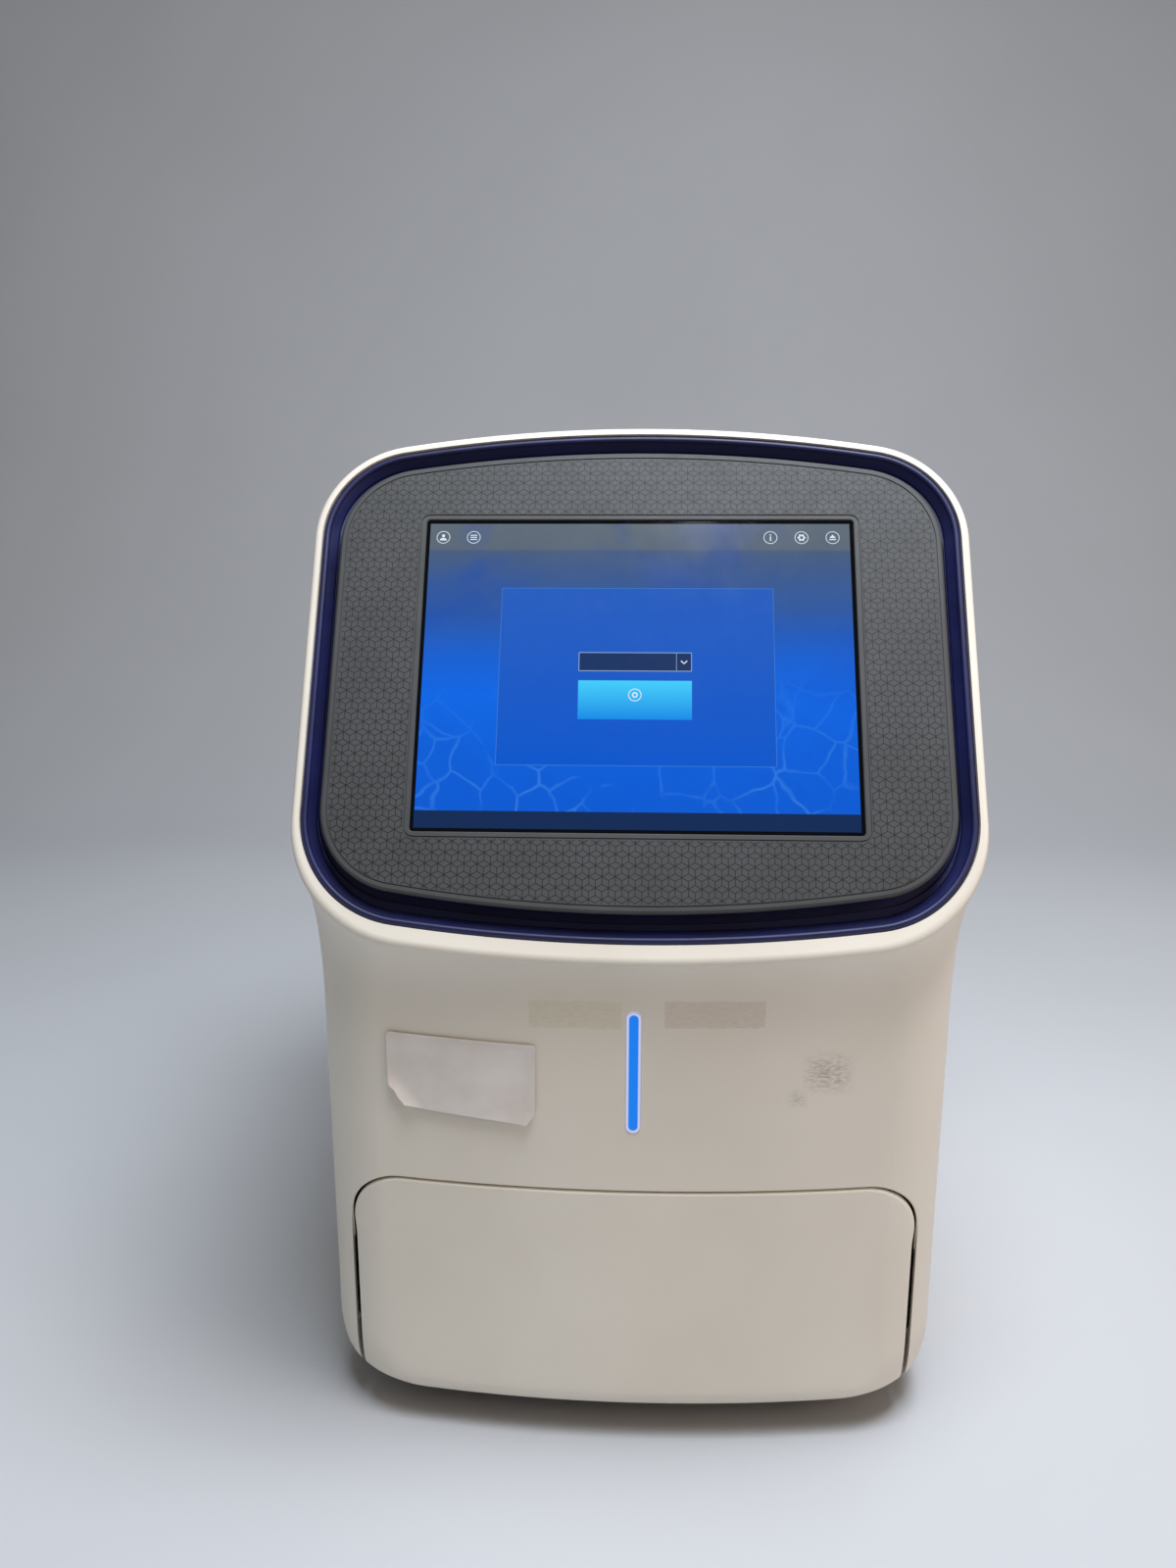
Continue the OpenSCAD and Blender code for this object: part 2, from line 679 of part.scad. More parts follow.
// C-section rails on the chamber's walls, and the runners that slide in them.
module slide_rails() {
    color("silver") for (s = [-1, 1]) scale([s, 1, 1]) {
        x0 = tray_half_w + 1;
        x1 = chamber_half_w - sheet;
        difference() {
            block(x0, x1, slide_front_y, slide_rear_y, slide_z - slide_h / 2, slide_z + slide_h / 2);
            block(x0 + rail_t, x1 - rail_t, slide_front_y - 1, slide_rear_y + 1,
                slide_z - slide_h / 2 + rail_t,
                slide_z + slide_h / 2 - rail_t);
            block(x0 - 1, x0 + 2, slide_front_y - 1, slide_rear_y + 1, slide_z - slide_h / 2 + 8,
                slide_z + slide_h / 2 - 8);
        }
    }
}

module slide_runners() {
    color("lightgray") for (s = [-1, 1]) scale([s, 1, 1]) {
        x0 = tray_half_w + 1 + rail_t + clearance;
        x1 = chamber_half_w - sheet - rail_t - clearance;
        block(x0, x1, slide_front_y, slide_rear_y - 6, slide_z - slide_h / 2 + rail_t + clearance,
            slide_z + slide_h / 2 - rail_t - clearance);
        block(tray_half_w, x0 + 1, slide_front_y, slide_rear_y - 6, slide_z - slide_h / 2 + 8 + clearance,
            slide_z + slide_h / 2 - 8 - clearance);
    }
}

// ---------------------------------------------------------------- drawer drive

motor_h = 12;

module drawer_motor() {
    color("dimgray") translate([rack_x + rack_pitch_r, rack_pinion_y, floor_z]) difference() {
        union() {
            cylinder(r = small_motor_r, h = motor_h);
            translate([-small_motor_r - 8, -6, 0]) cube([2 * small_motor_r + 16, 12, 3]);
        }
        translate([0, 0, 2]) cylinder(r = shaft_r + shaft_fit, h = motor_h);
    }
}

pinion_z = floor_z + motor_h + clearance;

module drawer_pinion() {
    color("goldenrod") translate([rack_x + rack_pitch_r, rack_pinion_y, 0]) {
        translate([0, 0, pinion_z]) rotate([0, 0, 180]) linear_extrude(tray_z - 2 - pinion_z)
            polygon(gear_points(rack_pinion_teeth, rack_m));
        translate([0, 0, floor_z + 3]) cylinder(r = shaft_r, h = tray_z - 2 - floor_z - 3);
    }
}

// The rack's teeth face +X; a gap faces the pinion's axis.
module drawer_rack() {
    pitch = PI * rack_m;
    first = ceil((rack_front_y - rack_pinion_y) / pitch);
    last = floor((rack_rear_y - rack_pinion_y) / pitch);
    color("darkgray") union() {
        translate([rack_x, rack_pinion_y, tray_z - rack_t]) rotate([0, 0, -90]) mirror([1, 0, 0])
            linear_extrude(rack_t) polygon(rack_points(rack_m, first, last, rack_w));
    }
}

// ---------------------------------------------------------------- drawer

standoffs = [for (x = [-130, -50, 50, 130]) for (z = [60, 130]) [x, z]];

// The columns of the drawer front from its middle to its side, close together where it curves.
drawer_half = drawer_w / 2;
flat_half = half_w - corner_r - corner_spread;
straight_half = drawer_half - drawer_corner_r;
function half_columns() = concat(
    [for (i = [0:5]) flat_half * i / 6],
    [for (i = [0:3]) flat_half + (straight_half - flat_half) * i / 4],
    [for (i = [0:8]) straight_half + drawer_corner_r * sin(90 * i / 8)]
);
function columns() = let (h = half_columns()) concat([for (i = [len(h) - 1:-1:1]) -h[i]], h);

// The top edge's height at a column.
function drawer_edge(x) = drawer_top - drawer_corner_r
    + sqrt(max(0, pow(drawer_corner_r, 2) - pow(max(0, abs(x) - straight_half), 2)));

// One column of the drawer front's outer or inner skin, from the bottom edge up.
function skin_column(x, skin) = concat(
    [for (a = [0:22.5:90]) let (r = bottom_r - skin, z = foot_gap + bottom_r - r * cos(a))
        [x, face_y + face_sag(x, bottom_r - r * sin(a), z), z]],
    [for (z = spread_zs) [x, face_y + face_sag(x, skin, z), z]],
    [[x, face_y + face_sag(x, skin), drawer_edge(x)]]
);

module drawer_front() {
    xs = columns();
    n = len(xs);
    m = len(spread_zs) + 6;
    points = concat([for (x = xs) each skin_column(x, 0)], [for (x = xs) each skin_column(x, wall)]);
    inner = n * m;
    end = (n - 1) * m;
    color("whitesmoke") polyhedron(points, faces = concat(
        [for (i = [0:n - 2]) for (j = [0:m - 2]) let (a = i * m + j, b = a + m)
            each [[a, a + 1, b + 1], [a, b + 1, b]]],
        [for (i = [0:n - 2]) for (j = [0:m - 2]) let (a = inner + i * m + j, b = a + m)
            each [[a, b + 1, a + 1], [a, b, b + 1]]],
        [for (i = [0:n - 2]) let (a = i * m, b = a + m)
            each [[a, b, inner + b], [a, inner + b, inner + a]]],
        [for (i = [0:n - 2]) let (a = i * m + m - 1, b = a + m)
            each [[a, inner + b, b], [a, inner + a, inner + b]]],
        [for (j = [0:m - 2]) each [[j, inner + j + 1, j + 1], [j, inner + j, inner + j + 1]]],
        [for (j = [0:m - 2]) let (a = end + j) each [[a, a + 1, inner + a + 1],
            [a, inner + a + 1, inner + a]]]
    ));
}

// How far the front face, drawn in by an inset, falls back from its middle at a distance x.
function face_sag(x, inset = 0, z = body_h) =
    let (r = corner_at(z), cx = half_w - r, by = front_bulge_r,
        cy = by - sqrt(pow(front_bulge_r - r, 2) - cx * cx),
        big = front_bulge_r - inset, small = r - inset,
        edge = cx + small * cx / (front_bulge_r - r))
    abs(x) < edge ? by - sqrt(big * big - x * x) : cy - sqrt(small * small - pow(abs(x) - cx, 2));

// The steel plate behind the drawer front, with the standoffs that hold the front.
module drawer_face_plate() {
    color("gray") union() {
        round_topped(plate_half_w, plate_low, plate_top, plate_corner_r, face_plate_y,
            face_plate_y + sheet);
        for (p = standoffs) rod_y(p.x, p.y, face_y + face_sag(abs(p.x) + standoff_r, wall,
            p.y - standoff_r) + 0.1,
            face_plate_y, standoff_r);
    }
}

standoff_r = 5;
plate_half_w = drawer_w / 2 - 9.5;
plate_low = floor_z + 3;
plate_top = mouth_top + 6.5;
plate_corner_r = 8;

module drawer_gasket() {
    y0 = face_plate_y + sheet;
    y1 = chamber_front_y - clearance;
    color("black") difference() {
        round_topped(plate_half_w, plate_low, plate_top, plate_corner_r, y0, y1);
        block(-plate_half_w + 6, plate_half_w - 6, y0 - 1, y1 + 1, plate_low - 1, plate_top - 6);
    }
}

module drawer_tray() {
    z1 = deck_z;
    color("silver") difference() {
        block(-tray_half_w, tray_half_w, face_plate_y + sheet, tray_rear_y, tray_z, z1);
        block(-tray_half_w + tray_t, tray_half_w - tray_t, face_plate_y + sheet + tray_t,
            tray_rear_y - tray_t,
            tray_z + tray_t, z1 + 1);
    }
}

module drawer_deck() {
    color("gray") difference() {
        block(-tray_half_w, tray_half_w, face_plate_y + sheet, tray_rear_y, deck_z, deck_top);
        post(0, stage_y, deck_z - 1, deck_top + 1, bearing_r - race_w);
        post(stage_pinion_x, stage_pinion_y, deck_z - 1, deck_top + 1, shaft_r + 2);
    }
}

module trans_light_board() {
    color("white") union() {
        block(-105, 105, stage_y - 85, stage_y + 85, tray_z + tray_t, tray_z + tray_t + 2);
        for (x = [-90:30:90]) for (y = [-60:30:60])
            bar(x, 6, stage_y + y - 3, stage_y + y + 3, tray_z + tray_t + 2, tray_z + tray_t + 4);
    }
}

diffuser_half_w = 100;
diffuser_half_d = 76;
diffuser_t = 4;
diffuser_z = deck_z - 14;

module trans_diffuser() {
    color("azure") union() {
        block(-diffuser_half_w, diffuser_half_w, stage_y - diffuser_half_d, stage_y + diffuser_half_d,
            diffuser_z,
            diffuser_z + diffuser_t);
        for (x = [-1, 1]) for (y = [-1, 1]) translate([x * (diffuser_half_w - 4) - 3, stage_y +
            y * (diffuser_half_d - 4) - 3, tray_z + tray_t + 2])
                cube([6, 6, diffuser_z - tray_z - tray_t - 2]);
    }
}

// The wide ring runs with twice a shaft's clearance.
bearing_fit = 2 * shaft_fit;

module turntable_bearing() {
    color("lightgray") difference() {
        post(0, stage_y, deck_top, deck_top + race_h, bearing_r);
        post(0, stage_y, deck_top - 1, deck_top + race_h + 1, bearing_r - race_w);
    }
}

module turntable() {
    z0 = deck_top + clearance;
    teeth = 2 * ceil(stage_teeth * 17 / 360);
    sector_pts = gear_points(stage_teeth, gear_m, -teeth / 2 + 0.5, teeth / 2 - 0.5);
    inner = (bearing_r + turntable_w - 2);
    reach = 360 * teeth / stage_teeth / 2;
    color("lightgray") difference() {
        union() {
            post(0, stage_y, z0, turntable_top, bearing_r + turntable_w);
            translate([0, stage_y, z0 + 0.5]) rotate([0, 0, stage_angle])
                linear_extrude(turntable_top - z0 - 1)
                polygon(concat(sector_pts, [inner * [cos(reach), sin(reach)], 0.96 * inner * [1, 0],
                    inner * [cos(reach), -sin(reach)]]));
        }
        post(0, stage_y, z0 - 1, turntable_top + 1, bearing_r + bearing_fit);
    }
}

module platen_frame() {
    color("dimgray") difference() {
        block(-platen_w / 2 - platen_rim, platen_w / 2 + platen_rim, stage_y - platen_d / 2 - platen_rim,
            stage_y + platen_d / 2 + platen_rim, turntable_top, turntable_top + platen_frame_h);
        block(-platen_w / 2, platen_w / 2, stage_y - platen_d / 2, stage_y + platen_d / 2,
            turntable_top + platen_frame_h - platen_t - 1, turntable_top + platen_frame_h + 1);
        block(-platen_w / 2 + 4, platen_w / 2 - 4, stage_y - platen_d / 2 + 4, stage_y + platen_d / 2 - 4,
            turntable_top - 1, turntable_top + platen_frame_h + 1);
    }
}

module platen_glass() {
    color("lightcyan") block(-platen_w / 2 + 0.2, platen_w / 2 - 0.2, stage_y - platen_d / 2 + 0.2,
        stage_y + platen_d / 2 - 0.2, turntable_top + platen_frame_h - platen_t - 1,
        turntable_top + platen_frame_h - 1);
}

stage_motor_h = 22;

module turntable_motor() {
    color("dimgray") translate([stage_pinion_x, stage_pinion_y, 0]) difference() {
        translate([0, 0, deck_z - stage_motor_h]) cylinder(r = 14, h = stage_motor_h);
        translate([0, 0, deck_z - stage_motor_h + 3]) cylinder(r = shaft_r + shaft_fit, h = stage_motor_h);
    }
}

module turntable_pinion() {
    translate([stage_pinion_x, stage_pinion_y, 0]) color("goldenrod") {
        translate([0, 0, deck_top + clearance]) rotate([0, 0, stage_angle + 180])
            linear_extrude(race_h) polygon(gear_points(pinion_teeth, gear_m));
        translate([0, 0, deck_z - stage_motor_h + 4]) cylinder(r = shaft_r, h = stage_motor_h + deck_t);
    }
}

// ---------------------------------------------------------------- filter wheel

module wheel_bridge() {
    leg_y = wheel_r + 4;
    color("silver") difference() {
        union() {
            block(wheel_offset - 22, wheel_offset + 22, stage_y - leg_y - 5, stage_y + leg_y + 5, bridge_z,
                bridge_z + bridge_t);
            for (s = [-1, 1]) block(wheel_offset - 22, wheel_offset + 22, stage_y + s * (leg_y + 2.5) - 2.5,
                stage_y + s * (leg_y + 2.5) + 2.5, chamber_top + sheet, bridge_z);
        }
        post(wheel_offset, stage_y, bridge_z - 1, bridge_z + bridge_t + 1, shaft_r + 3);
    }
}

module wheel_motor() {
    z0 = bridge_z + bridge_t;
    color("dimgray") difference() {
        translate([wheel_offset, stage_y, z0 + 19]) cube([38, 38, 38], center = true);
        post(wheel_offset, stage_y, z0 - 1, z0 + 30, shaft_r + shaft_fit);
    }
}

module wheel_shaft() {
    color("lightgray") post(wheel_offset, stage_y, wheel_z, bridge_z + bridge_t + 28, shaft_r);
}

module filter_wheel() {
    color("black") translate([wheel_offset, stage_y, 0]) difference() {
        union() {
            translate([0, 0, wheel_z]) cylinder(r = wheel_r, h = wheel_t);
            translate([0, 0, wheel_z + wheel_t]) cylinder(r = 9, h = bridge_z - wheel_z - wheel_t - 1);
        }
        translate([0, 0, wheel_z - 1]) cylinder(r = shaft_r, h = bridge_z - wheel_z + 2);
        for (i = [0:filter_count - 1]) rotate([0, 0, 180 + 360 * i / filter_count])
            translate([wheel_offset, 0, 0]) {
            translate([0, 0, wheel_z + 3]) cylinder(r = filter_r, h = wheel_t);
            translate([0, 0, wheel_z - 1]) cylinder(r = filter_r - 2, h = wheel_t);
        }
    }
}

module emission_filters() {
    color("orange") translate([wheel_offset, stage_y, wheel_z + 3])
        for (i = [0:filter_count - 1]) rotate([0, 0, 180 + 360 * i / filter_count])
            translate([wheel_offset, 0, 0]) cylinder(r = filter_r - 0.1, h = 4);
}

// ---------------------------------------------------------------- camera

mount_x = -wheel_offset - 10;
mount_half_d = camera_w / 2 + 4;

module camera_mount() {
    rear_leg_y = stage_y + wheel_r + 12;
    color("silver") difference() {
        union() {
            block(mount_x - 5, mount_x, stage_y - mount_half_d, stage_y + mount_half_d,
                chamber_top + sheet, lens_top);
            block(mount_x - 5, camera_w / 2 + 2, stage_y - mount_half_d, stage_y + mount_half_d,
                lens_top - arm_t,
                lens_top);
            block(-30, 30, stage_y, rear_leg_y + 5, lens_top - arm_t, lens_top);
            block(-30, 30, rear_leg_y, rear_leg_y + 5, chamber_top + sheet, lens_top);
        }
        post(0, stage_y, lens_top - arm_t - 1, lens_top + 1, lens_r + 1);
        translate([focus_motor_x, focus_motor_y, lens_top - arm_t - 1])
            cylinder(r = shaft_r + 2, h = arm_t + 2);
    }
}

focus_angle = 205;
focus_motor_x = focus_distance * cos(focus_angle);
focus_motor_y = stage_y + focus_distance * sin(focus_angle);

module camera_body() {
    color("dimgray") difference() {
        translate([-camera_w / 2 + 8, stage_y - camera_w / 2, camera_z])
            cube([camera_w - 8, camera_w, camera_h]);
        post(0, stage_y, camera_z - 1, camera_z + 8, 20);
    }
}

module camera_heat_sink() {
    color("silver") union() {
        bar(fan_x, camera_w - 12, stage_y - camera_w / 2 + 4, stage_y + camera_w / 2 - 4, sink_z,
            sink_z + 5);
        for (i = [0:9]) block(-34 + i * 8, -32 + i * 8, stage_y - camera_w / 2 + 4,
            stage_y + camera_w / 2 - 4,
            sink_z + 5, sink_z + sink_h);
    }
}

fan_x = 4;
fan_pin_r = 2;

module camera_fan_frame() {
    color("black") post(fan_x, stage_y, cam_fan_z + 1, cam_fan_z + cam_fan_h - 5, fan_pin_r - shaft_fit);
    color("black") difference() {
        bar(fan_x, cam_fan_w, stage_y - cam_fan_w / 2, stage_y + cam_fan_w / 2, cam_fan_z,
            cam_fan_z + cam_fan_h);
        difference() {
            post(fan_x, stage_y, cam_fan_z - 1, cam_fan_z + cam_fan_h + 1, cam_fan_w / 2 - 2);
            post(fan_x, stage_y, cam_fan_z - 1, cam_fan_z + 2, 12);
            for (a = [0, 120, 240]) translate([fan_x, stage_y, cam_fan_z]) rotate([0, 0, a])
                translate([0, -2, 0])
                cube([cam_fan_w / 2, 4, 2]);
        }
    }
}

// A hub with blades, turning about +Z, standing on z = 0.
module fan_rotor(hub_r, tip_r, h, blades) {
    difference() {
        union() {
            cylinder(r = hub_r, h = h);
            for (i = [0:blades - 1]) rotate([0, 0, 360 * i / blades]) translate([hub_r - 1, 0, h / 2])
                rotate([35, 0, 0]) translate([0, -0.8, -h / 2 + 1.6])
                    cube([tip_r - hub_r + 1, 1.6, h - 3.2]);
        }
        translate([0, 0, -1]) cylinder(r = fan_pin_r, h = h - 1);
    }
}

module camera_fan_rotor() {
    color("dimgray") translate([fan_x, stage_y, cam_fan_z + 2 + clearance])
        fan_rotor(12, cam_fan_w / 2 - 4, cam_fan_h - 4, 7);
}

module lens_barrel() {
    color("black") difference() {
        union() {
            post(0, stage_y, lens_z, lens_top, lens_r);
            post(0, stage_y, lens_z, lens_z + 8, lens_r + 3);
            post(0, stage_y, focus_z + focus_h + clearance, focus_z + focus_h + 4, lens_r + 2);
            post(0, stage_y, focus_z - 4, focus_z - clearance, lens_r + 2);
        }
        post(0, stage_y, lens_z - 1, lens_z + 10, lens_r - 3);
        post(0, stage_y, lens_z, lens_top - 8, 16);
    }
}

module focus_ring() {
    color("dimgray") translate([0, stage_y, focus_z]) difference() {
        rotate([0, 0, focus_angle + 180 / focus_teeth]) linear_extrude(focus_h)
            polygon(gear_points(focus_teeth, gear_m));
        translate([0, 0, -1]) cylinder(r = lens_r + shaft_fit, h = focus_h + 2);
    }
}

module focus_motor() {
    color("dimgray") translate([focus_motor_x, focus_motor_y, 0]) difference() {
        union() {
            translate([0, 0, lens_top - arm_t - 8]) cylinder(r = 10, h = 8);
        }
        translate([0, 0, lens_top - arm_t - 9]) cylinder(r = shaft_r + shaft_fit, h = 8);
    }
}

module focus_pinion() {
    color("goldenrod") translate([focus_motor_x, focus_motor_y, 0]) {
        translate([0, 0, focus_z + 4]) rotate([0, 0, focus_angle + 180]) linear_extrude(8)
            polygon(gear_points(pinion_teeth, gear_m));
        translate([0, 0, focus_z + 4]) cylinder(r = shaft_r, h = lens_top - arm_t - 3 - focus_z - 4);
    }
}

// ---------------------------------------------------------------- lamps

module lamp(s) {
    x_wall = hood_half_w - sheet;
    color("dimgray") scale([s, 1, 1]) difference() {
        union() {
            block(x_wall - 4, x_wall, stage_y - 45, stage_y + 45, chamber_top - 62, chamber_top - 14);
            translate([x_wall - 16, stage_y, chamber_top - 36]) rotate([0, -35, 0])
                cube([26, 80, 30], center = true);
        }
        for (y = [-26, 0, 26]) translate([x_wall - 20, stage_y + y, chamber_top - 42]) rotate([0, -35, 0])
            translate([0, 0, -20]) cylinder(r = 9, h = 14);
        block(x_wall, x_wall + 40, stage_y - 60, stage_y + 60, chamber_top - 90, chamber_top + 10);
    }
}

module lamp_left() { lamp(-1); }
module lamp_right() { lamp(1); }

// ---------------------------------------------------------------- electronics

module control_board() {
    y0 = chamber_rear_y;
    color("green") union() {
        block(-120, 120, y0 + 8, y0 + 9.6, 60, 160);
        for (x = [-112, 112]) for (z = [68, 152]) rod_y(x, z, y0, y0 + 9, 3);
        block(-40, 0, y0 + 9.6, y0 + 22, 90, 130);
        block(30, 60, y0 + 9.6, y0 + 14, 80, 100);
        block(70, 110, y0 + 9.6, y0 + 20, 66, 76);
    }
}

module power_supply() {
    color("silver") difference() {
        block(-foot_x + 8, -50, chamber_rear_y + 26, cover_end_y - 8, floor_z, floor_z + 38);
        for (i = [0:6]) bar(-foot_x + 18 + i * 12, 4, chamber_rear_y + 36, cover_end_y - 18,
            floor_z + 35, floor_z + 39);
    }
}

fan_t = 25;
fan_y = rear_y - wall - fan_t;

module rear_fan_frame() {
    color("black") rod_y(0, fan_z, fan_y + 1, fan_y + fan_t - 6, fan_pin_r - shaft_fit);
    color("black") difference() {
        block(-fan_w / 2, fan_w / 2, fan_y, fan_y + fan_t, fan_z - fan_w / 2, fan_z + fan_w / 2);
        difference() {
            rod_y(0, fan_z, fan_y - 1, fan_y + fan_t + 1, fan_w / 2 - 2);
            rod_y(0, fan_z, fan_y, fan_y + 3, 20);
            for (a = [0, 90, 180, 270]) translate([0, fan_y + 3, fan_z]) rotate([90, a, 0])
                translate([0, -2.5, 0]) cube([fan_w / 2, 5, 3]);
        }
        for (sx = [-1, 1]) for (sz = [-1, 1]) rod_y(sx * fan_screw, fan_z + sz * fan_screw, fan_y - 1,
            fan_y + fan_t + 1, 2.2);
    }
}

module rear_fan_rotor() {
    color("dimgray") translate([0, fan_y + 3 + clearance, fan_z]) rotate([-90, 0, 0])
        fan_rotor(20, fan_w / 2 - 4, fan_t - 6, 7);
}

module fan_guard() {
    rim = fan_w / 2 - 1;
    color("silver") translate([0, rear_y, fan_z]) rotate([-90, 0, 0]) {
        for (r = [12, 22, 32, rim]) translate([0, 0, 1.5]) rotate_extrude() translate([r, 0])
            circle(1.4, $fn = 16);
        for (a = [0, 90]) rotate([0, 0, a + 45]) translate([-rim - 10, -1.5, 0.2])
            cube([2 * rim + 20, 3, 2.2]);
    }
}

module power_inlet() {
    color("black") difference() {
        union() {
            bar(inlet_x, inlet_w - 0.4, rear_y - 24, rear_y, inlet_z - inlet_h / 2 + 0.2,
                inlet_z + inlet_h / 2 - 0.2);
            bar(inlet_x, inlet_w + 6, rear_y, rear_y + 2, inlet_z - inlet_h / 2 - 3,
                inlet_z + inlet_h / 2 + 3);
        }
        bar(inlet_x, 25, rear_y - 17, rear_y + 3, inlet_z - 8.5, inlet_z + 8.5);
    }
    color("silver") for (i = [-1, 0, 1])
        bar(inlet_x + i * 7, 2, rear_y - 17, rear_y - 2, inlet_z - 2 + (i == 0 ? 3 : -1),
            inlet_z + 2 + (i == 0 ? 3 : -1));
}

rocker_w = switch_w - 6;
rocker_h = switch_h - 8;
rocker_r = 13.5;
rocker_tilt = 7;
rocker_pin_r = 1.5;
rocker_y = rear_y - rocker_r + 1.5;

module switch_bezel() {
    color("black") difference() {
        union() {
            bar(switch_x, switch_w - 0.4, rear_y - 20, rear_y, inlet_z - switch_h / 2 + 0.2,
                inlet_z + switch_h / 2 - 0.2);
            bar(switch_x, switch_w + 4, rear_y, rear_y + 1.2, inlet_z - switch_h / 2 - 2,
                inlet_z + switch_h / 2 + 2);
        }
        bar(switch_x, rocker_w, rear_y - 18, rear_y + 3, inlet_z - rocker_h / 2 - 1.5,
            inlet_z + rocker_h / 2 + 1.5);
        translate([switch_x, rocker_y, inlet_z]) rotate([0, 90, 0])
            cylinder(r = rocker_pin_r, h = switch_w - 2, center = true);
    }
}

// A rocker with a hollow face, pressed at one end, that turns on a pin across X.
module power_rocker() {
    h = rocker_h / 2;
    color("black") translate([switch_x, rocker_y, inlet_z]) rotate([rocker_tilt, 0, 0]) union() {
        rotate([90, 0, 90]) linear_extrude(rocker_w - 0.8, center = true)
            polygon([[-3, -h + 3], [rocker_r - 1, -h], [rocker_r - 2.5, 0], [rocker_r - 1, h],
                [-3, h - 3]]);
        rotate([0, 90, 0]) cylinder(r = rocker_pin_r - shaft_fit, h = switch_w - 2.6, center = true);
    }
}

module io_panel() {
    y1 = rear_y + 1;
    color("silver") difference() {
        union() {
            bar(io_x, io_w, rear_y, y1, io_z - io_h / 2, io_z + io_h / 2);
            bar(io_x, io_w - 9, rear_y - 22, rear_y, io_z - io_h / 2 + 5, io_z + io_h / 2 - 5);
        }
        for (i = [-1, 0, 1]) bar(io_x + i * 22 - 14, 14.5, rear_y - 16, y1 + 1, io_z - 3.5, io_z + 3.5);
        bar(io_x + 36, 16, rear_y - 16, y1 + 1, io_z - 6.5, io_z + 6.5);
    }
}

module rear_screws() {
    color("darkgray") for (p = rear_screw_places) translate([p.x, rear_y, p.y]) rotate([-90, 0, 0])
        union() {
        rotate_extrude() polygon([[0, 0], [4, 0], [4, 1.2], [2.8, 2.4], [0, 2.6]]);
        translate([0, 0, -8]) cylinder(r = 2, h = 8);
    }
}

front_shell();
main_cover();
rear_panel();
base_plate();
rubber_feet();
bezel_ring();
screen_panel();
touch_glass();
lcd_module();
display_bracket();
display_board();
light_bar();
light_bar_board();
chamber();
chamber_deck();
slide_rails();
drawer_motor();
drawer_pinion();
drawer_front();
drawer_face_plate();
drawer_gasket();
drawer_tray();
drawer_deck();
slide_runners();
drawer_rack();
trans_light_board();
trans_diffuser();
turntable_bearing();
turntable_motor();
turntable_pinion();
turntable();
platen_frame();
platen_glass();
wheel_bridge();
wheel_motor();
wheel_shaft();
filter_wheel();
emission_filters();
camera_mount();
camera_body();
camera_heat_sink();
camera_fan_frame();
camera_fan_rotor();
lens_barrel();
focus_ring();
focus_motor();
focus_pinion();
lamp_left();
lamp_right();
control_board();
power_supply();
rear_fan_frame();
rear_fan_rotor();
fan_guard();
power_inlet();
switch_bezel();
power_rocker();
io_panel();
rear_screws();
deck_screws();
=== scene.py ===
"""Benchtop gel documentation system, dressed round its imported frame.

The front faces -Y, +X is to the right seen from the front and z = 0 is the bench.
Sizes in the classes are in millimetres; meshes are made in metres.
"""

import json
import logging
import math
from dataclasses import dataclass
from enum import Enum
from typing import Callable, Iterable, Sequence

import bmesh
import bpy
from mathutils import Euler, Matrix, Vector


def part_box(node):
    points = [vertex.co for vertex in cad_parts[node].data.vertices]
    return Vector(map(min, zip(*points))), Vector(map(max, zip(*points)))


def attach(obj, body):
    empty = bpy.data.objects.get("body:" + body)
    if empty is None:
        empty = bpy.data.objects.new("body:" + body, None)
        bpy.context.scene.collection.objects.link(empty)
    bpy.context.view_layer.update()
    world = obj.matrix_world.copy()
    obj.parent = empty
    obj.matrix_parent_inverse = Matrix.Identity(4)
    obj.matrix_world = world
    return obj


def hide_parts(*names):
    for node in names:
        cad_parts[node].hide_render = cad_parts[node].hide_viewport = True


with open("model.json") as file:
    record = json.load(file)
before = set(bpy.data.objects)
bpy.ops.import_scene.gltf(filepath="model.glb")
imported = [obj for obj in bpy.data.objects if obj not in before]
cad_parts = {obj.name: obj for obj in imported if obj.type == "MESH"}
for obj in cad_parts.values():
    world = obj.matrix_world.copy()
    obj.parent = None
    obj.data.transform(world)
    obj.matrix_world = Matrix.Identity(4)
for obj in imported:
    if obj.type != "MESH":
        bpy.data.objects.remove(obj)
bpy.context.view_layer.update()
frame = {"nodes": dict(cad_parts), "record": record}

MM = 0.001
CROWN_STEPS = 10
CORNER_STEPS = 22
ROUND_TURNS = (22.5, 45, 67.5, 90)
FAR_BACK = 99.0
log = logging.getLogger("gel_imager")

Point = tuple[float, float]
Spot = tuple[float, float, float]
Place = Callable[[float, float, float], Vector]
Piece = bpy.types.Object
Socket = bpy.types.NodeSocket
Shader = bpy.types.Node
Tree = bpy.types.NodeTree


# --- finishes ---


def linear(code: str) -> tuple[float, float, float, float]:
    """Turns an sRGB hex colour to linear light.

    Args:
        code: Six hex digits.

    Returns:
        Red, green, blue and an alpha of 1.
    """
    parts = [int(code[i : i + 2], 16) / 255 for i in (0, 2, 4)]
    light = [c / 12.92 if c <= 0.04045 else ((c + 0.055) / 1.055) ** 2.4 for c in parts]
    return (*light, 1.0)


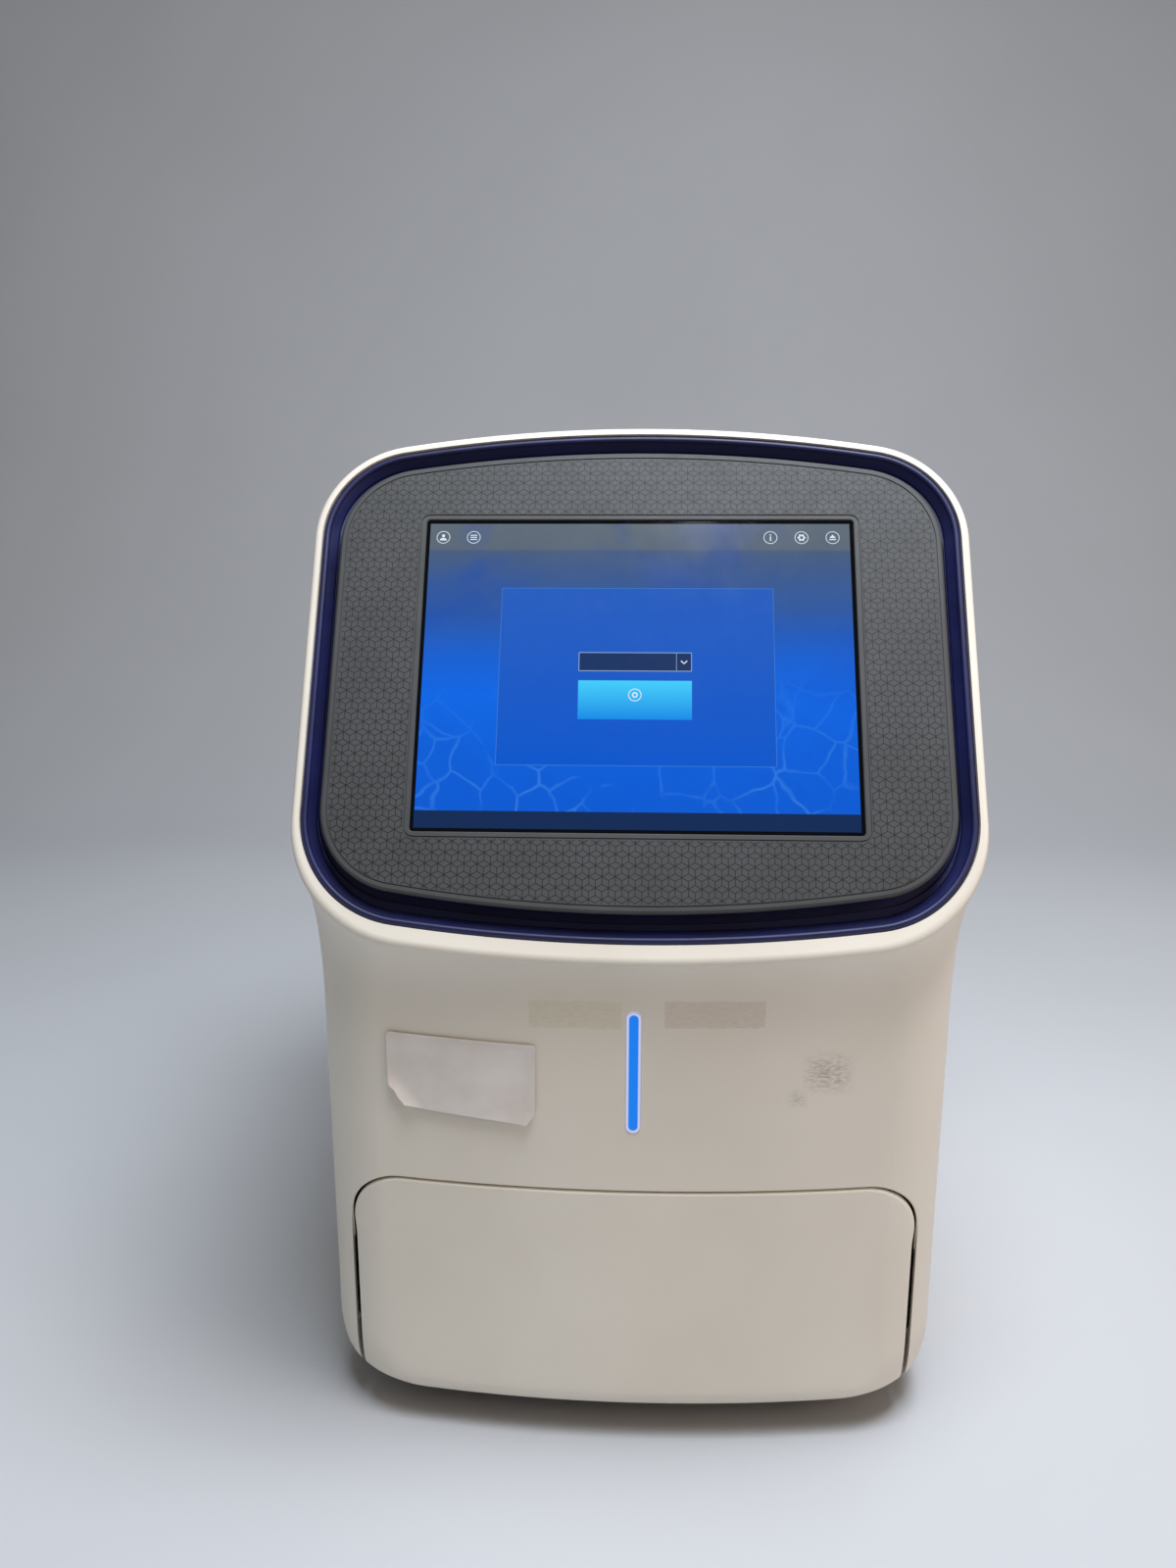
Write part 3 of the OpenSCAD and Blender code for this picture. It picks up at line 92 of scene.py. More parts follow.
def add(tree: Tree, kind: str, inputs: dict | None = None, **settings) -> Shader:
    """Adds one shader node.

    Args:
        tree: The tree it goes into.
        kind: The node's class, without its ShaderNode prefix.
        inputs: Socket name or number to a value, or to another node's output.
        settings: The node's own properties.

    Returns:
        The new node.
    """
    node = tree.nodes.new("ShaderNode" + kind)
    for key, value in settings.items():
        setattr(node, key, value)
    for socket, value in (inputs or {}).items():
        if isinstance(value, Socket):
            tree.links.new(value, node.inputs[socket])
        else:
            node.inputs[socket].default_value = value
    return node


def maths(tree: Tree, operation: str, *values: float | Socket) -> Socket:
    """Adds one step of arithmetic."""
    return add(tree, "Math", dict(enumerate(values)), operation=operation).outputs[0]


def ranged(
    tree: Tree, value: Socket, low: float, high: float, to_low: float = 0.0, to_high: float = 1.0
) -> Socket:
    """Takes a value from one range to another, and holds it within that."""
    ends = {"Value": value, "From Min": low, "From Max": high, "To Min": to_low, "To Max": to_high}
    return add(tree, "MapRange", ends).outputs[0]


def blend(tree: Tree, share: Socket, base: Socket | str, over: Socket | str) -> Socket:
    """Mixes two colours, each an sRGB hex or an output."""
    base, over = (linear(c) if isinstance(c, str) else c for c in (base, over))
    return add(tree, "Mix", {0: share, 6: base, 7: over}, data_type="RGBA").outputs[2]


def noise(tree: Tree, place: Socket, scale: float, detail: float, output: int = 0, **inputs: float) -> Socket:
    """Adds noise: its strength from output 0, its colour from output 1."""
    inputs = {"Vector": place, "Scale": scale, "Detail": detail, **inputs}
    return add(tree, "TexNoise", inputs).outputs[output]


def warped(tree: Tree, place: Socket, scale: float, detail: float, reach: float) -> Socket:
    """Shifts a place by noise, by up to a reach in metres."""
    shift = {0: noise(tree, place, scale, detail, 1), 1: (reach, reach, reach), 2: place}
    return add(tree, "VectorMath", shift, operation="MULTIPLY_ADD").outputs[0]


def parts_of(tree: Tree, place: Socket) -> Sequence[Socket]:
    """Splits a place into x, y and z."""
    return add(tree, "SeparateXYZ", {0: place}).outputs


class Surface(Enum):
    """How a surface was made, which sets its relief."""

    SPARK_ERODED = "fine pits of a spark-eroded mould"
    ORANGE_PEEL = "soft waves of powder coat"
    BRUSHED = "long scratches along X"
    BLASTED = "matt dimples of glass beads"
    TURNED = "rings left by a lathe"
    POLISHED = "smooth"


@dataclass(frozen=True)
class Finish:
    """A real material and how its surface was made.

    Colours are sRGB hex, shade being what the colour drifts to; sizes are in millimetres.
    """

    name: str
    colour: str
    shade: str
    roughness: float
    surface: Surface
    grain: float = 0.8
    relief: float = 0.02
    drift: float = 70.0
    metallic: float = 0.0
    ior: float = 1.5
    transmission: float = 0.0

    def material(self) -> bpy.types.Material:
        """Returns this finish's material, made once."""
        known = bpy.data.materials.get(self.name)
        if known:
            return known
        made = bpy.data.materials.new(self.name)
        made.use_nodes = True
        tree = made.node_tree
        tree.nodes.clear()
        place = add(tree, "TexCoord").outputs["Object"]
        constants = {"Metallic": self.metallic, "Transmission Weight": self.transmission}
        if not self.metallic:
            constants["IOR"] = self.ior
        shader = add(tree, "BsdfPrincipled", constants)
        tree.links.new(self.colouring(tree, place), shader.inputs["Base Color"])
        self.dull(tree, place, shader)
        self.emboss(tree, place, shader)
        self.glow(tree, place, shader)
        end = add(tree, "OutputMaterial")
        tree.links.new(shader.outputs[0], end.inputs["Surface"])
        return made

    def colouring(self, tree: Tree, place: Socket) -> Socket:
        """Returns the colour, drifting to its shade in broad patches."""
        patches = noise(tree, place, 1 / (self.drift * MM), 5.0)
        return blend(tree, ranged(tree, patches, 0.36, 0.64), self.colour, self.shade)

    def dull(self, tree: Tree, place: Socket, shader: Shader) -> None:
        """Varies the roughness a little, as handling does."""
        touch = noise(tree, place, 3 / (self.drift * MM), 6.0, Roughness=0.7)
        least, most = max(self.roughness - 0.05, 0.02), self.roughness + 0.06
        tree.links.new(ranged(tree, touch, 0.3, 0.7, least, most), shader.inputs["Roughness"])

    def emboss(self, tree: Tree, place: Socket, shader: Shader) -> None:
        """Adds the relief that the making left."""
        if self.surface is Surface.POLISHED:
            return
        scale = 1 / (self.grain * MM)
        vector = place
        if self.surface is Surface.BRUSHED:
            vector = add(tree, "Mapping", {"Vector": place, "Scale": (0.02, 1.0, 1.0)}).outputs[0]
        if self.surface is Surface.TURNED:
            rings = {"Vector": vector, "Scale": scale / 6.3, "Distortion": 0.4}
            field = add(tree, "TexWave", rings, wave_type="RINGS", rings_direction="Z").outputs[1]
        elif self.surface is Surface.BLASTED:
            field = add(tree, "TexVoronoi", {"Vector": vector, "Scale": scale}).outputs["Distance"]
        else:
            field = noise(tree, vector, scale, 2.0 if self.surface is Surface.ORANGE_PEEL else 5.0)
        bump = add(tree, "Bump", {"Height": field, "Distance": self.relief * MM, "Strength": 0.7})
        tree.links.new(bump.outputs[0], shader.inputs["Normal"])

    def glow(self, tree: Tree, place: Socket, shader: Shader) -> None:
        """A plain finish gives no light."""


@dataclass(frozen=True)
class Mark:
    """A faint patch on the front face: middle, half sizes, how soft its edge is, colour and strength."""

    x: float
    z: float
    half_w: float
    half_h: float
    soft: float
    colour: str
    strength: float
    speckle: float


@dataclass(frozen=True)
class HandledShell(Finish):
    """A moulded shell with what years on a bench leave: tape glue and rubs."""

    marks: tuple[Mark, ...] = ()
    ragged: float = 1.5
    face_y: float = -200.0

    def colouring(self, tree: Tree, place: Socket) -> Socket:
        """Returns the drifting colour with each mark laid over it."""
        colour = super().colouring(tree, place)
        axes = parts_of(tree, warped(tree, place, 220.0, 3.0, 2 * self.ragged * MM))
        streaks = add(tree, "Mapping", {"Vector": place, "Scale": (0.3, 1.0, 1.0)}).outputs[0]
        fleck = noise(tree, streaks, 900.0, 3.0)
        front = maths(tree, "LESS_THAN", axes[1], self.face_y * MM)
        for mark in self.marks:
            shape = front
            for axis, middle, half in ((axes[0], mark.x, mark.half_w), (axes[2], mark.z, mark.half_h)):
                away = maths(tree, "ABSOLUTE", maths(tree, "SUBTRACT", axis, (middle + self.ragged) * MM))
                within = ranged(tree, away, (half + mark.soft) * MM, (half - mark.soft) * MM)
                shape = maths(tree, "MULTIPLY", shape, within)
            patchy = ranged(tree, fleck, 0.38, 0.62)
            amount = maths(tree, "MULTIPLY_ADD", patchy, mark.speckle, 1 - mark.speckle)
            seen = maths(tree, "MULTIPLY", shape, amount)
            colour = blend(tree, maths(tree, "MULTIPLY", seen, mark.strength), colour, mark.colour)
        return colour


@dataclass(frozen=True)
class LitPlate(Finish):
    """A lit patch of a display, even or from one colour at its foot to another at its top.

    The glass over it is dark and coated, so it hardly mirrors the room.
    """

    colour: str = "05070C"
    shade: str = "080A0E"
    roughness: float = 0.14
    surface: Surface = Surface.POLISHED
    ior: float = 1.3
    lit: str = "FFFFFF"
    lit_low: str = ""
    top: float = 0.0
    bottom: float = 0.0

    def height(self, tree: Tree, place: Socket) -> Socket:
        """The share of the way up from bottom to top, which are heights z in millimetres."""
        return ranged(tree, parts_of(tree, place)[2], self.bottom * MM, self.top * MM)

    def glow(self, tree: Tree, place: Socket, shader: Shader) -> None:
        """Lights it."""
        shader.inputs["Emission Strength"].default_value = 1.0
        if self.lit_low:
            colour = blend(tree, self.height(tree, place), self.lit_low, self.lit)
            tree.links.new(colour, shader.inputs["Emission Color"])
        else:
            shader.inputs["Emission Color"].default_value = linear(self.lit)


@dataclass(frozen=True)
class LitPicture(LitPlate):
    """The display's ground: a grey header that falls to deep blue, with a faint net of cells low down. The
    grey at the top and its fade downwards are partly the menu's own colours and partly painted haze, the room
    reflected in the glass.
    """

    # Emission colours by height; the greying towards the top is partly painted reflection haze of the room in
    # the glass.
    stops: tuple[tuple[float, str], ...] = (
        (0.0, "0558D0"), (0.25, "065FD9"), (0.42, "0A66E4"), (0.54, "1560D2"), (0.62, "205BBB"),
        (0.7, "2E58A1"), (0.8, "3A5A92"), (0.905, "485D7E"), (0.912, "5B6877"), (1.0, "5F6B76"),
    )

    def glow(self, tree: Tree, place: Socket, shader: Shader) -> None:
        """Lights it by height."""
        height = self.height(tree, place)
        ramp = add(tree, "ValToRGB", {0: height})
        while len(ramp.color_ramp.elements) < len(self.stops):
            ramp.color_ramp.elements.new(0.5)
        for element, (at, code) in zip(ramp.color_ramp.elements, self.stops):
            element.position = at
            element.color = linear(code)
        cloud = noise(tree, place, 14.0, 4.0, Distortion=0.6)
        veil = ranged(tree, cloud, 0.5, 0.7, to_high=0.35)
        colour = blend(tree, veil, ramp.outputs[0], "0848B4")
        cells = {"Vector": warped(tree, place, 40.0, 2.0, 0.012), "Scale": 46.0}
        net = add(tree, "TexVoronoi", cells, feature="DISTANCE_TO_EDGE")
        threads = ranged(tree, net.outputs[0], 0.05, 0.0, to_high=0.4)
        low = ranged(tree, height, 0.5, 0.15)
        patch = ranged(tree, cloud, 0.42, 0.55)
        seen = maths(tree, "MULTIPLY", maths(tree, "MULTIPLY", threads, low), patch)
        tree.links.new(blend(tree, seen, colour, "4C9BF5"), shader.inputs["Emission Color"])
        shader.inputs["Emission Strength"].default_value = 1.0


@dataclass(frozen=True)
class LightPipe(Finish):
    """An acrylic light pipe: a saturated core, and a pale rim that is partly the light leaving its bevel and
    partly a painted halo round the core.
    """

    middle: float = 0.0
    reach: float = 0.0
    core: float = 0.0
    rim: float = 0.0

    def glow(self, tree: Tree, place: Socket, shader: Shader) -> None:
        """Lights it by the distance from its upright middle line."""
        axes = parts_of(tree, place)
        up = maths(tree, "ABSOLUTE", maths(tree, "SUBTRACT", axes[2], self.middle * MM))
        end = maths(tree, "MAXIMUM", maths(tree, "SUBTRACT", up, self.reach * MM), 0.0)
        spot = add(tree, "CombineXYZ", {0: axes[0], 1: end}).outputs[0]
        away = add(tree, "VectorMath", {0: spot}, operation="LENGTH").outputs["Value"]
        fall = ranged(tree, away, (self.core - 0.5) * MM, (self.core + 0.3) * MM)
        # The pale colour round the core is partly a painted halo of the light.
        tree.links.new(blend(tree, fall, "007AE8", "D4D4F0"), shader.inputs["Emission Color"])
        dim = ranged(tree, away, self.core * MM, self.rim * MM, 1.0, 0.6)
        tree.links.new(dim, shader.inputs["Emission Strength"])


@dataclass(frozen=True)
class CircuitBoard(Finish):
    """Glass-epoxy laminate under solder mask: darker copper tracks show through it."""

    def colouring(self, tree: Tree, place: Socket) -> Socket:
        """Returns the mask's green with copper tracks and gilt pads."""
        base = super().colouring(tree, place)
        tracks = add(tree, "TexBrick", {"Vector": place, "Scale": 120.0, "Mortar Size": 0.03}).outputs[1]
        grid = {"Vector": place, "Scale": 200.0, "Randomness": 0.4}
        pads = add(tree, "TexVoronoi", grid).outputs["Distance"]
        dot = maths(tree, "LESS_THAN", pads, 0.12)
        return blend(tree, dot, blend(tree, tracks, base, "0E6B3C"), "C9A35A")


PIT = Surface.SPARK_ERODED
FINISHES = {
    # PC/ABS, injection moulded: a warm white satin skin, fine enough to gleam softly at its edges.
    "shell_white": HandledShell(
        "moulded_abs_warm_white", "EDE6D7", "E5DDCD", 0.4, PIT, 0.9, 0.012, 160.0,
        marks=(
            Mark(-33, 279, 26, 8.5, 0.4, "CFC69A", 0.4, 0.5),
            Mark(45, 280, 28, 8.2, 0.4, "C6AE98", 0.42, 0.3),
            Mark(110, 243, 11, 9, 5.0, "9F9683", 0.6, 1.0),
            Mark(93, 228, 4, 4, 3.0, "A89F8C", 0.5, 1.0),
        ),
    ),
    # Powder-coated steel sheet: the same white, with the soft orange peel of a baked coat.
    "cover_grey": Finish(
        "powder_coated_steel_white", "E4DFD5", "DDD7CB", 0.46, Surface.ORANGE_PEEL, 2.4, 0.03, 180.0
    ),
    # ABS coloured navy in the mass, moulded: a satin skin that draws one soft line along the bead.
    "navy_plastic": Finish("moulded_abs_navy", "12184F", "0E1341", 0.48, PIT, 0.7, 0.01, 40.0),
    # Polycarbonate film bonded to the screen's frame: a fine matt grain, so it gleams only at the top.
    "panel_grey": Finish(
        "textured_polycarbonate_film_grey", "444545", "3E3F3F", 0.56, PIT, 0.8, 0.03, 30.0
    ),
    # Zinc-plated steel sheet, bent and brushed by handling: grey with streaked gleams.
    "sheet_steel": Finish(
        "zinc_plated_steel", "A9ABAC", "979A9C", 0.34, Surface.BRUSHED, 0.5, 0.012, 45.0, metallic=1.0
    ),
    # Steel with a matt black coat that keeps stray light down.
    "black_metal": Finish(
        "black_coated_steel", "131415", "1B1C1E", 0.6, Surface.ORANGE_PEEL, 1.2, 0.03, 50.0
    ),
    # Aluminium, bead blasted and clear anodised: pale and evenly matt.
    "aluminium": Finish(
        "anodised_aluminium", "B4B7B9", "A7AAAD", 0.38, Surface.BLASTED, 0.4, 0.008, 50.0, metallic=1.0
    ),
    # Free-cutting brass, turned: warm, with fine rings.
    "brass": Finish("turned_brass", "B88F46", "A67E3A", 0.28, Surface.TURNED, 0.5, 0.01, 20.0, metallic=1.0),
    # Laminate, etched and solder masked: green with tracks and gilt dots.
    "circuit_board": CircuitBoard(
        "solder_masked_laminate", "0B4F2C", "0A4527", 0.35, PIT, 1.0, 0.02, 40.0
    ),
    # Nitrile and silicone rubber, moulded matt: the darkest and dullest of the blacks.
    "rubber": Finish("moulded_rubber", "1B1B1B", "252423", 0.8, PIT, 0.9, 0.05, 20.0),
    # Float glass with seamed edges: clear, with a green tinge.
    "clear_glass": Finish(
        "float_glass", "F2FAF7", "EAF6F2", 0.03, Surface.POLISHED, transmission=1.0, ior=1.52
    ),
    # Opal acrylic sheet, cast: milky, to spread the light from below.
    "diffuser": Finish("opal_acrylic", "EFF2F4", "E6EAEE", 0.35, PIT, 0.6, 0.004, 60.0, ior=1.49),
    # Optical glass, coated and set in its cell: a clear amber.
    "filter_glass": Finish(
        "coated_filter_glass", "D9762A", "C85F2C", 0.05, Surface.POLISHED, drift=30.0, transmission=0.7
    ),
}
# Black ABS and nylon mouldings: soft grey gleams on dark edges.
for slot_name in ("black_plastic", "screen", "light_guide"):
    FINISHES[slot_name] = Finish("moulded_abs_black", "17181A", "1F2022", 0.45, PIT, 0.8, 0.02, 30.0)
# Screen-printed ink: fine dark lines, drawn a little wider than real so that they show.
INK = Finish("screen_printed_ink", "131414", "101111", 0.55, PIT, 0.5, 0.005, 20.0)
# Glass printed black on its back: the border round the lit picture.
BORDER = Finish("black_printed_glass", "06080B", "080A0D", 0.08, Surface.POLISHED, ior=1.3)
# Coated card: smooth and just off white, greyed by dust.
CARD = Finish("coated_card", "EEE6DE", "E2D9CF", 0.34, PIT, 0.6, 0.01, 25.0)
# Backlit liquid crystal: even light, white for signs, then the menu's blues.
WHITE_LIGHT = LitPlate("lit_icon_white", lit="DCE8F2")
EDGE_LIGHT = LitPlate("lit_line_blue", lit="3F7ACB")
FIELD_LIGHT = LitPlate("lit_field_navy", lit="1D3563")
LINE_LIGHT = LitPlate("lit_line_pale", lit="9CBBDD")
FOOTER_LIGHT = LitPlate("lit_footer_navy", lit="102A54")
# Matt backdrop paper: the pale ground that the part stands on.
PAPER = Finish("matt_backdrop_paper", "C6C8CA", "C2C4C6", 0.8, Surface.ORANGE_PEEL, 3.0, 0.05, 600.0)

SLOTS = {row["node"]: row["material_slot"] for row in frame["record"]["subparts"]}
BODIES = {node: body for body, nodes in frame["record"]["behaviour"]["bodies"].items() for node in nodes}


# --- outlines ---


def fan(span: float, steps: int) -> list[float]:
    """Angles from 0 to a span, both ends included."""
    return [span * i / steps for i in range(steps + 1)]


def bearing(degrees: float) -> Point:
    """The cosine and sine of an angle."""
    return math.cos(math.radians(degrees)), math.sin(math.radians(degrees))


def raised(outline: Sequence[Point], level: float) -> list[Spot]:
    """An outline at a level of its third axis."""
    return [(x, y, level) for x, y in outline]


def edges_of(outline: Sequence[Point]) -> list[tuple[Point, Point]]:
    """The pairs of neighbouring corners of a closed outline."""
    return list(zip(outline, list(outline[1:]) + [outline[0]]))


@dataclass(frozen=True)
class Arch:
    """Half of an arched outline: a wide crown runs into a corner, which ends on a straight side."""

    half: float
    apex: float
    crown: float
    corner: float

    def side(self, inset: float = 0.0) -> list[Point]:
        """Points from the middle to the right-hand side."""
        across = self.half - self.corner
        base = self.apex - self.crown
        level = base + math.sqrt((self.crown - self.corner) ** 2 - across**2)
        turn = math.atan2(across, level - base)
        wide, tight = self.crown - inset, self.corner - inset
        points = [(wide * math.sin(a), base + wide * math.cos(a)) for a in fan(turn, CROWN_STEPS)[:-1]]
        angles = [turn + a for a in fan(math.pi / 2 - turn, CORNER_STEPS)]
        return points + [(across + tight * math.sin(a), level + tight * math.cos(a)) for a in angles]

    def whole(self, inset: float = 0.0) -> list[Point]:
        """Points from the left-hand side over the crown to the right."""
        half = self.side(inset)
        return [(-x, y) for x, y in reversed(half[1:])] + half


def flipped(points: Sequence[Point]) -> list[Point]:
    """Turns an outline upside down, keeping its direction round."""
    return [(x, -y) for x, y in reversed(points)]


def slot_outline(width: float, length: float, steps: int = 16) -> list[Point]:
    """A round-ended upright slot about the origin."""
    r, reach = width / 2, (length - width) / 2
    top = [(r * math.cos(a), reach + r * math.sin(a)) for a in fan(math.pi, steps)]
    return top + [(-x, -y) for x, y in top]


def round_rect(
    half_w: float, half_h: float, r: float, steps: int = 8, cx: float = 0.0, cy: float = 0.0
) -> list[Point]:
    """A rounded rectangle."""
    points = []
    for sx, sy, start in ((1, 1, 0), (-1, 1, 90), (-1, -1, 180), (1, -1, 270)):
        for i in range(steps + 1):
            c, s = bearing(start + 90 * i / steps)
            points.append((cx + sx * (half_w - r) + r * c, cy + sy * (half_h - r) + r * s))
    return points


def circle(r: float, steps: int = 32, cx: float = 0.0, cy: float = 0.0) -> list[Point]:
    """A circle."""
    return [(cx + r * math.cos(a), cy + r * math.sin(a)) for a in fan(2 * math.pi, steps)[:-1]]


def bearings(*outlines: Sequence[Point]) -> list[float]:
    """The angles about the origin of every corner of some outlines, in order and well apart."""
    found = sorted(math.atan2(y, x) for outline in outlines for x, y in outline)
    kept = [found[0]]
    for a in found[1:]:
        if a - kept[-1] > 0.004:
            kept.append(a)
    return kept


def cast(outline: Sequence[Point], angles: Sequence[float]) -> list[Point]:
    """Where rays from the origin at given angles meet an outline that winds once about it."""
    points = []
    edges = edges_of(outline)
    for a in angles:
        dx, dy = math.cos(a), math.sin(a)
        best = 0.0
        for (x0, y0), (x1, y1) in edges:
            c0, c1 = dx * y0 - dy * x0, dx * y1 - dy * x1
            if (c0 <= 0 <= c1 or c1 <= 0 <= c0) and c0 != c1:
                t = c0 / (c0 - c1)
                best = max(best, dx * (x0 + t * (x1 - x0)) + dy * (y0 + t * (y1 - y0)))
        points.append((best * dx, best * dy))
    return points


def inside(point: Point, outline: Sequence[Point]) -> bool:
    """Whether a point lies within an outline."""
    x, y = point
    found = False
    for (x0, y0), (x1, y1) in edges_of(outline):
        if (y0 > y) != (y1 > y) and x < x0 + (y - y0) * (x1 - x0) / (y1 - y0):
            found = not found
    return found


# --- mesh making ---


def stand(name: str, data: bpy.types.ID) -> Piece:
    """Puts some data in the scene as an object."""
    made = bpy.data.objects.new(name, data)
    bpy.context.scene.collection.objects.link(made)
    return made


def poured(name: str, mesh: bmesh.types.BMesh) -> Piece:
    """Puts a mesh in the scene as an object, and frees what it was made from."""
    data = bpy.data.meshes.new(name)
    mesh.to_mesh(data)
    mesh.free()
    return stand(name, data)


def straight(x: float, y: float, z: float) -> Vector:
    """Places a point given in the cabinet's own millimetres."""
    return Vector((x, y, z)) * MM


class Solid:
    """Collects closed shapes, then makes one piece of them."""

    def __init__(self, place: Place = straight) -> None:
        """Starts empty.

        Args:
            place: Takes a point in millimetres to the row frame in metres.
        """
        self.place = place
        self.mesh = bmesh.new()

    def loft(self, rings: Sequence[Sequence[Spot]], capped: bool = True) -> "Solid":
        """Skins closed rings that all have as many points.

        Args:
            rings: The rings in order.
            capped: Closes the two ends; a loft whose last ring is its first needs none.

        Returns:
            This solid.
        """
        made = [[self.mesh.verts.new(self.place(*p)) for p in ring] for ring in rings]
        count = len(made[0])
        pairs = list(zip(made, made[1:])) + ([] if capped else [(made[-1], made[0])])
        for one, two in pairs:
            for i in range(count):
                j = (i + 1) % count
                self.mesh.faces.new((one[i], one[j], two[j], two[i]))
        if capped:
            self.mesh.faces.new(list(reversed(made[0])))
            self.mesh.faces.new(made[-1])
        return self

    def prism(self, outline: Sequence[Point], low: float, high: float) -> "Solid":
        """Raises a flat outline from low to high along the third axis."""
        return self.loft([raised(outline, level) for level in (low, high)])

    def washer(self, outer: Sequence[Point], inner: Sequence[Point], low: float, high: float) -> None:
        """Raises the flat band between two outlines that have as many points."""
        path = ((outer, low), (outer, high), (inner, high), (inner, low))
        self.loft([raised(outline, level) for outline, level in path], capped=False)

    def hull(self, points: Iterable[Spot]) -> "Solid":
        """Adds the convex hull of some points."""
        part = bmesh.new()
        for p in points:
            part.verts.new(self.place(*p))
        made = bmesh.ops.convex_hull(part, input=part.verts)
        spare = set(made["geom_interior"]) | set(made["geom_unused"])
        bmesh.ops.delete(part, geom=list(spare), context="VERTS")
        holder = bpy.data.meshes.new("hull")
        part.to_mesh(holder)
        part.free()
        self.mesh.from_mesh(holder)
        bpy.data.meshes.remove(holder)
        return self

    def piece(self, name: str) -> Piece:
        """Returns the shapes as one object, with its faces turned outwards."""
        bmesh.ops.recalc_face_normals(self.mesh, faces=self.mesh.faces)
        return poured(name, self.mesh)


class Cut(Enum):
    """What a tool body does to a blank."""

    AWAY = "DIFFERENCE"
    KEEP = "INTERSECT"


def carve(blank: Piece, *tools: Solid, first: Cut = Cut.AWAY) -> Piece:
    """Cuts a blank with tool bodies and drops the tools.

    Args:
        blank: The object to cut.
        tools: The tools, in order.
        first: What the first tool does; each of the others cuts away.

    Returns:
        The blank, with its mesh replaced.
    """
    used = []
    for index, solid in enumerate(tools):
        tool = solid.piece(f"{blank.name}_tool_{index}")
        step = blank.modifiers.new("cut", "BOOLEAN")
        step.object, step.solver = tool, "MANIFOLD"
        step.operation = (Cut.AWAY if index else first).value
        used.append(tool)
    settle(blank)
    for tool in used:
        bpy.data.meshes.remove(tool.data)
    return blank


def settle(piece: Piece) -> None:
    """Applies every modifier of a piece to its mesh."""
    bpy.context.view_layer.update()
    held = piece.evaluated_get(bpy.context.evaluated_depsgraph_get())
    data = bpy.data.meshes.new_from_object(held)
    piece.modifiers.clear()
    old, piece.data = piece.data, data
    bpy.data.meshes.remove(old)


def shaded(piece: Piece, angle: float) -> Piece:
    """Shades a piece smooth, with sharp edges kept where faces turn by more than an angle in degrees."""
    piece.data.shade_smooth()
    piece.data.set_sharp_from_angle(angle=math.radians(angle))
    return piece


def smooth(piece: Piece, angle: float = 32.0) -> Piece:
    """Shades a piece smooth and lets its large faces stay flat."""
    weigh = shaded(piece, angle).modifiers.new("weigh", "WEIGHTED_NORMAL")
    weigh.keep_sharp = True
    return piece


def dress(piece: Piece, finish: Finish) -> None:
    """Gives a piece one material."""
    piece.data.materials.clear()
    piece.data.materials.append(finish.material())


def deliver(piece: Piece, body: str, slot: str, *stands_for: str, finish: Finish | None = None) -> None:
    """Dresses a piece, lets it ride and hides the nodes that it stands for.

    Args:
        piece: The object, in place.
        body: The body it moves with.
        slot: The record's material slot.
        stands_for: Nodes that it replaces.
        finish: Its material, where it isn't the slot's own.
    """
    dress(piece, finish or FINISHES[slot])
    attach(piece, body)
    if stands_for:
        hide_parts(*stands_for)
    log.info("%s on %s: %d faces", piece.name, body, len(piece.data.polygons))


def box_mm(node: str) -> tuple[Vector, Vector]:
    """A node's lowest and highest corners in millimetres."""
    low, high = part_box(node)
    return low / MM, high / MM


# --- front shell ---


